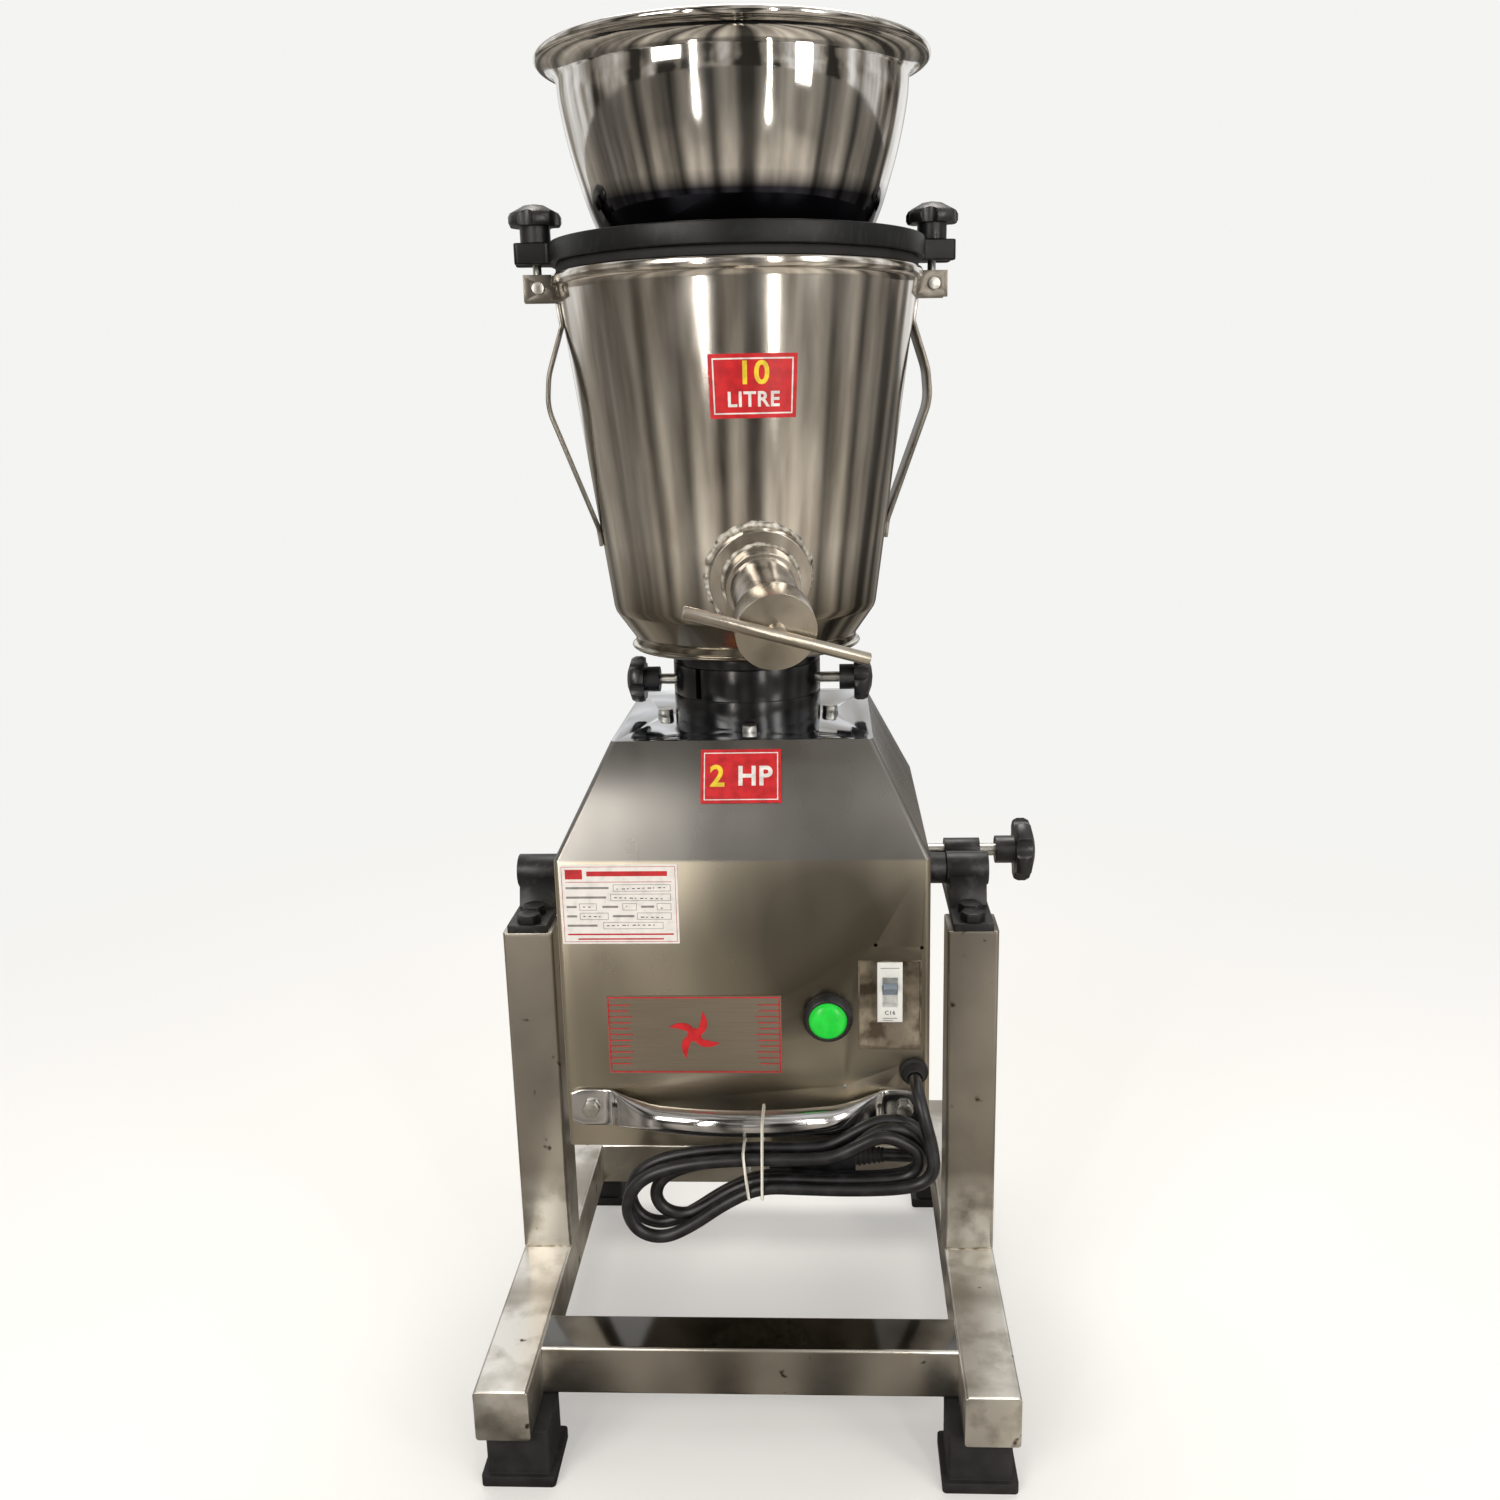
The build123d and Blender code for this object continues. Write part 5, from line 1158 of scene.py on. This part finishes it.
# Rating plate: paper with a red header and blank boxes.
rating = on_panel(-85, shoulder_z / MM - 31)
printed("rating_plate", rating, [(-41, -29, 41, 29)], 0.45, paper, "housing", 0.4)
printed("rating_border", rating, outline_bars(82, 58, 0.35, 1.4), 0.5, red_ink, "housing")
header = [(-37, 18.5, -25, 25.5), (-22, 20.6, 34, 24.2), (-37, 16.2, 37, 16.6)]
printed("rating_header", rating, header, 0.52, red_ink, "housing")
boxes = [(-4, 9.5, 36, 14.6), (-6, 2.6, 36, 7.7), (-28, -4.3, -16, 0.8), (2, -4.3, 12, 0.8),
         (26, -4.3, 36, 0.8), (-28, -11.2, -8, -6.1), (12, -11.2, 36, -6.1), (-12, -18.1, 30, -13.0)]
rule = 0.35
frames = []
for left, low, right, high in boxes:
    frames += [(left, low, right, low + rule), (left, high - rule, right, high),
               (left, low, left + rule, high), (right - rule, low, right, high)]
printed("rating_boxes", rating, frames, 0.52, grey_ink, "housing")
captions = [(-37, 11.3, -7, 12.9), (-37, 4.4, -9, 6.0), (-37, -2.5, -30, -0.9), (-12, -2.5, -1, -0.9),
            (15, -2.5, 24, -0.9), (-37, -9.4, -30, -7.8), (-5, -9.4, 10, -7.8), (-37, -16.3, -16, -14.7),
            (-37, -22.6, 37, -21.4), (-30, -26, 30, -24.9)]
printed("rating_captions", rating, captions[:-2], 0.52, grey_ink, "housing")
printed("rating_footer", rating, captions[-2:], 0.52, red_ink, "housing")
entries = []
for left, low, right, high in boxes:
    x = left + 2.5
    while x < right - 4:
        sway = 0.7 * sin(x * 1.7)
        entries.append((x, low + 1.8 + sway, x + 1.7 + 0.8 * sin(x), low + 2.5 + sway))
        x += 3.6
printed("rating_entries", rating, entries, 0.52, dark_ink, "housing")


# Name plate: left plain but for a red border, fading stripes at its ends and a four-armed cutter.
def plate_film():
    """Clear film over brushed steel, a shade darker than the panel."""
    material, shader = new_material("name_plate_film")
    lines = grain(material, 9, (3, 3, 160), 4)
    feed(material, shader, Base_Color=mixed(material, "#8b8070", "#a89c8b", lines))
    metal(shader, 0.9)
    feed(material, shader, Roughness=ramp(material, lines, 0.3, 0.46))
    shader.inputs["Coat Weight"].default_value = 0.6
    shader.inputs["Coat Roughness"].default_value = 0.12
    return material


badge = on_panel(-36, shell_low.z / MM + 87)
printed("name_plate", badge, [(-61.8, -29.8, 61.8, 29.8)], 0.7, plate_film(), "housing", 0.5)
printed("name_plate_border", badge, outline_bars(124, 60, 1.0, 1.0), 0.95, red_ink, "housing")
stripes = []
for number in range(11):
    height = -22.5 + 4.5 * number
    inner_end = 46 - 1.2 * (number % 3)
    stripes += [(-60.5, height, -inner_end, height + 0.7), (inner_end, height, 60.5, height + 0.7)]
printed("name_plate_stripes", badge, stripes, 0.95, red_ink, "housing")
cutter_bm = bmesh.new()
for arm in range(4):
    start = arm * pi / 2
    outer = [(3.5 + 15.5 * k / 8, start + radians(72) * k / 8) for k in range(9)]
    inner = [(radius, angle + radians(60 * (1 - k / 8))) for k, (radius, angle) in enumerate(outer[:8])][::-1]
    cutter_bm.faces.new([cutter_bm.verts.new(badge(r * cos(a), r * sin(a), 1.0)) for r, a in outer + inner])
cutter_bm.faces.new([cutter_bm.verts.new(badge(5 * cos(a), 5 * sin(a), 1.02)) for a in around(24)])
finish_mesh("name_plate_cutter", cutter_bm, red_vinyl, "housing", "printed_plate")
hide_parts("panel_plates")

# Printed marks on the breaker: a rating and a few rule lines.
breaker_face = on_panel(102, shell_low.z / MM + 119)
lettered("breaker_rating", breaker_face, "C16", 4.2, (0, -15.2), 1.15, dark_ink, "housing", 0.1)
breaker_lines = [(-5, -19.6, 5, -19.0), (-5, -21.2, 2, -20.7), (-6.5, 18, 6.5, 18.5)]
printed("breaker_marks", breaker_face, breaker_lines, 1.15, grey_ink, "housing")

# ---------------------------------------------------------------- cutters and the jar's drive
# Ground stainless blades on a spindle that runs in a bronze bush, driven by a cast dog coupling.
blade_steel = plain_metal("ground_stainless_blades", "#98948c", "#cbc7be", 0.22, 300)
softened("cutter_blades", 0.25, blade_steel, "ground_steel", "blades")
softened("blade_nut", 0.5, blade_steel, "ground_steel", "blade_lock_nut")
softened("blade_spindle", 0.4, turned_steel, "ground_steel", "spindle")
softened("blade_bush", 0.4, bronze, "bronze", "spindle_bush")


# ---------------------------------------------------------------- motor and drive inside the housing
# Two-horsepower induction motor: aluminium shell, laminated core, enamelled windings, and a moulded fan.
def cast_aluminium():
    """Sand-cast aluminium: dull light grey with a grainy skin."""
    material, shader = new_material("cast_aluminium")
    skin = grain(material, 260, detail=5)
    feed(material, shader, Base_Color=mixed(material, "#83858a", "#b4b6b9", skin))
    metal(shader)
    feed(material, shader, Roughness=ramp(material, skin, 0.42, 0.62))
    bump(material, shader, skin, 0.25)
    return material


def wound_copper():
    """Enamelled copper wire: amber lacquer over bright metal, wound in rows half a millimetre apart."""
    material, shader = new_material("enamelled_copper_windings")
    place = add(material, "ShaderNodeTexCoord")
    rows = add(material, "ShaderNodeTexWave", {"Scale": 320, "Distortion": 2.5}, Vector=place.outputs["Object"])
    feed(material, shader, Base_Color=mixed(material, "#5d2a12", "#b4622c", rows.outputs[1]))
    metal(shader, 0.85)
    shader.inputs["Roughness"].default_value = 0.34
    bump(material, shader, rows.outputs[1], 0.4)
    return material


def stacked_laminations():
    """Silicon steel stampings: dark grey with the edges of half-millimetre sheets."""
    material, shader = new_material("lamination_stack")
    edges = grain(material, 12, (1, 1, 170), 2)
    feed(material, shader, Base_Color=mixed(material, "#3c3d40", "#77787b", edges))
    metal(shader)
    feed(material, shader, Roughness=ramp(material, edges, 0.35, 0.55))
    bump(material, shader, edges, 0.1)
    return material


aluminium, copper, laminated = cast_aluminium(), wound_copper(), stacked_laminations()
for node, material, slot, width in (
        ("motor_casing", aluminium, "cast_aluminium", 0.8),
        ("stator_core", laminated, "lamination_steel", 0.3),
        ("stator_windings", copper, "copper_winding", 0.8),
        ("motor_bearings", turned_steel, "ground_steel", 0.3),
        ("run_capacitor", moulded_plastic("capacitor_case", "#b9bab8", "#d5d6d3", 0.35), "grey_plastic", 0.6),
        ("motor_shaft", turned_steel, "ground_steel", 0.4),
        ("rotor_core", laminated, "lamination_steel", 0.3),
        ("cooling_fan", moulded_plastic("fan_nylon", "#1b1c1e", "#2c2d30", 0.4), "black_plastic", 0.4),
        ("drive_coupling", aluminium, "cast_aluminium", 0.5),
        ("driven_coupling", aluminium, "cast_aluminium", 0.5)):
    softened(node, width, material, slot)

# ---------------------------------------------------------------- floor
# A plain pale floor that runs out of sight; mirrors see it darker than the camera does, as they would see a
# workshop's floor.
BACKDROP = linear("#f4f4f2")
floor_bm = bmesh.new()
bmesh.ops.create_circle(floor_bm, cap_ends=True, segments=96, radius=16)
floor_mesh = bpy.data.meshes.new("floor")
floor_bm.to_mesh(floor_mesh)
floor_bm.free()
floor = bpy.data.objects.new("floor", floor_mesh)
bpy.context.scene.collection.objects.link(floor)
floor_material, floor_shader = new_material("pale_floor")
glossy_ray = add(floor_material, "ShaderNodeLightPath").outputs["Is Glossy Ray"]
floor_place = add(floor_material, "ShaderNodeTexCoord").outputs["Object"]
floor_way = add(floor_material, "ShaderNodeVectorMath", {"operation": "NORMALIZE"}, i0=floor_place)
floor_bands = add(floor_material, "ShaderNodeTexNoise", {"Scale": 3.2, "Detail": 2.5},
                  Vector=floor_way.outputs[0])
band = ramp(floor_material, floor_bands.outputs[0], 0, 1, 0.4, 0.66)
seen_in_steel = mixed(floor_material, "#2a2620", "#d6d0c6", band)
floor_tone = add(floor_material, "ShaderNodeMix", {"data_type": "RGBA"}, i0=glossy_ray, i7=seen_in_steel)
floor_tone.inputs[6].default_value = linear("#d6d5d3")
floor_material.node_tree.links.new(floor_tone.outputs[2], floor_shader.inputs["Base Color"])
floor_shader.inputs["Roughness"].default_value = 0.8
camera_ray = add(floor_material, "ShaderNodeLightPath").outputs["Is Camera Ray"]
floor_material.node_tree.links.new(mixed(floor_material, "#000000", "#8c8c8b", camera_ray),
                                   floor_shader.inputs["Emission Color"])
floor_shader.inputs["Emission Strength"].default_value = 1.0
far_away = add(floor_material, "ShaderNodeVectorMath", {"operation": "LENGTH"}, i0=floor_place)
fade = add(floor_material, "ShaderNodeMath", {"operation": "MULTIPLY"}, i0=camera_ray,
           i1=ramp(floor_material, far_away.outputs[1], 0, 1, 0.5, 1.7))
haze = add(floor_material, "ShaderNodeEmission", {"Color": BACKDROP, "Strength": 1.0})
faded = add(floor_material, "ShaderNodeMixShader", i0=fade.outputs[0], i1=floor_shader.outputs[0],
            i2=haze.outputs[0])
floor_out = next(node for node in floor_material.node_tree.nodes if node.type == "OUTPUT_MATERIAL")
floor_material.node_tree.links.new(faded.outputs[0], floor_out.inputs["Surface"])
floor_mesh.materials.append(floor_material)

# ---------------------------------------------------------------- world and studio lights
# The backdrop is plain and pale to the camera. Mirrors see a soft room with upright bands of light and dark,
# brighter overhead, which gives polished steel its streaks.
world = bpy.data.worlds.new("studio")
bpy.context.scene.world = world
world.use_nodes = True
world.node_tree.nodes.clear()
sky_out = add(world, "ShaderNodeOutputWorld")
backdrop = add(world, "ShaderNodeBackground", {"Color": BACKDROP, "Strength": 1.0})
room = add(world, "ShaderNodeBackground", {"Strength": 1.0})
camera_ray = add(world, "ShaderNodeLightPath").outputs["Is Camera Ray"]
choice = add(world, "ShaderNodeMixShader", i0=camera_ray, i1=room.outputs[0], i2=backdrop.outputs[0])
world.node_tree.links.new(choice.outputs[0], sky_out.inputs[0])
direction = add(world, "ShaderNodeTexCoord").outputs["Generated"]
banded = add(world, "ShaderNodeMapping", {"Scale": (3.4, 3.4, 0.7)}, Vector=direction)
bands = add(world, "ShaderNodeTexNoise", {"Scale": 1.0, "Detail": 2.5}, Vector=banded.outputs[0])
people = add(world, "ShaderNodeTexNoise", {"Scale": 7.0, "Detail": 3.0}, Vector=direction)
sum_of = add(world, "ShaderNodeMath", {"operation": "MULTIPLY_ADD"}, i0=people.outputs[0], i2=bands.outputs[0])
sum_of.inputs[1].default_value = 0.35
slant = add(world, "ShaderNodeVectorMath", {"operation": "DOT_PRODUCT"}, i0=direction)
slant.inputs[1].default_value = (0.0, 0.10, 0.06)
lift = add(world, "ShaderNodeMath", {"operation": "ADD"}, i0=slant.outputs[1], i1=sum_of.outputs[0])
tones = add(world, "ShaderNodeValToRGB", i0=lift.outputs[0])
tones.color_ramp.elements[0].position = 0.56
tones.color_ramp.elements[0].color = linear("#36332f")
tones.color_ramp.elements[1].position = 0.86
tones.color_ramp.elements[1].color = linear("#ffffff")
middle = tones.color_ramp.elements.new(0.69)
middle.color = linear("#a39d94")
world.node_tree.links.new(tones.outputs[0], room.inputs[0])


def softbox(name, place, target, width, height, power):
    """A rectangular studio light aimed at a place; both in metres."""
    light = bpy.data.lights.new(name, "AREA")
    light.shape = "RECTANGLE"
    light.size = width
    light.size_y = height
    light.energy = power
    light.color = linear("#fffaf4")[:3]
    lamp = bpy.data.objects.new(name, light)
    lamp.location = place
    lamp.rotation_euler = (Vector(target) - Vector(place)).to_track_quat("-Z", "Y").to_euler()
    bpy.context.scene.collection.objects.link(lamp)


softbox("overhead", (0.0, 0.9, 2.6), (0, 0, 0.4), 1.6, 1.2, 30)
softbox("front_left", (-1.6, -2.1, 1.7), (0, 0, 0.5), 0.9, 1.2, 26)
softbox("front_right", (1.9, -1.7, 1.3), (0, 0, 0.5), 0.5, 1.5, 15)
softbox("strip_left", (-0.75, -2.0, 1.05), (0, 0, 0.7), 0.10, 1.5, 9)
softbox("strip_right", (0.9, -1.9, 1.0), (0, 0, 0.7), 0.08, 1.5, 8)
bpy.context.scene.view_settings.view_transform = "Standard"
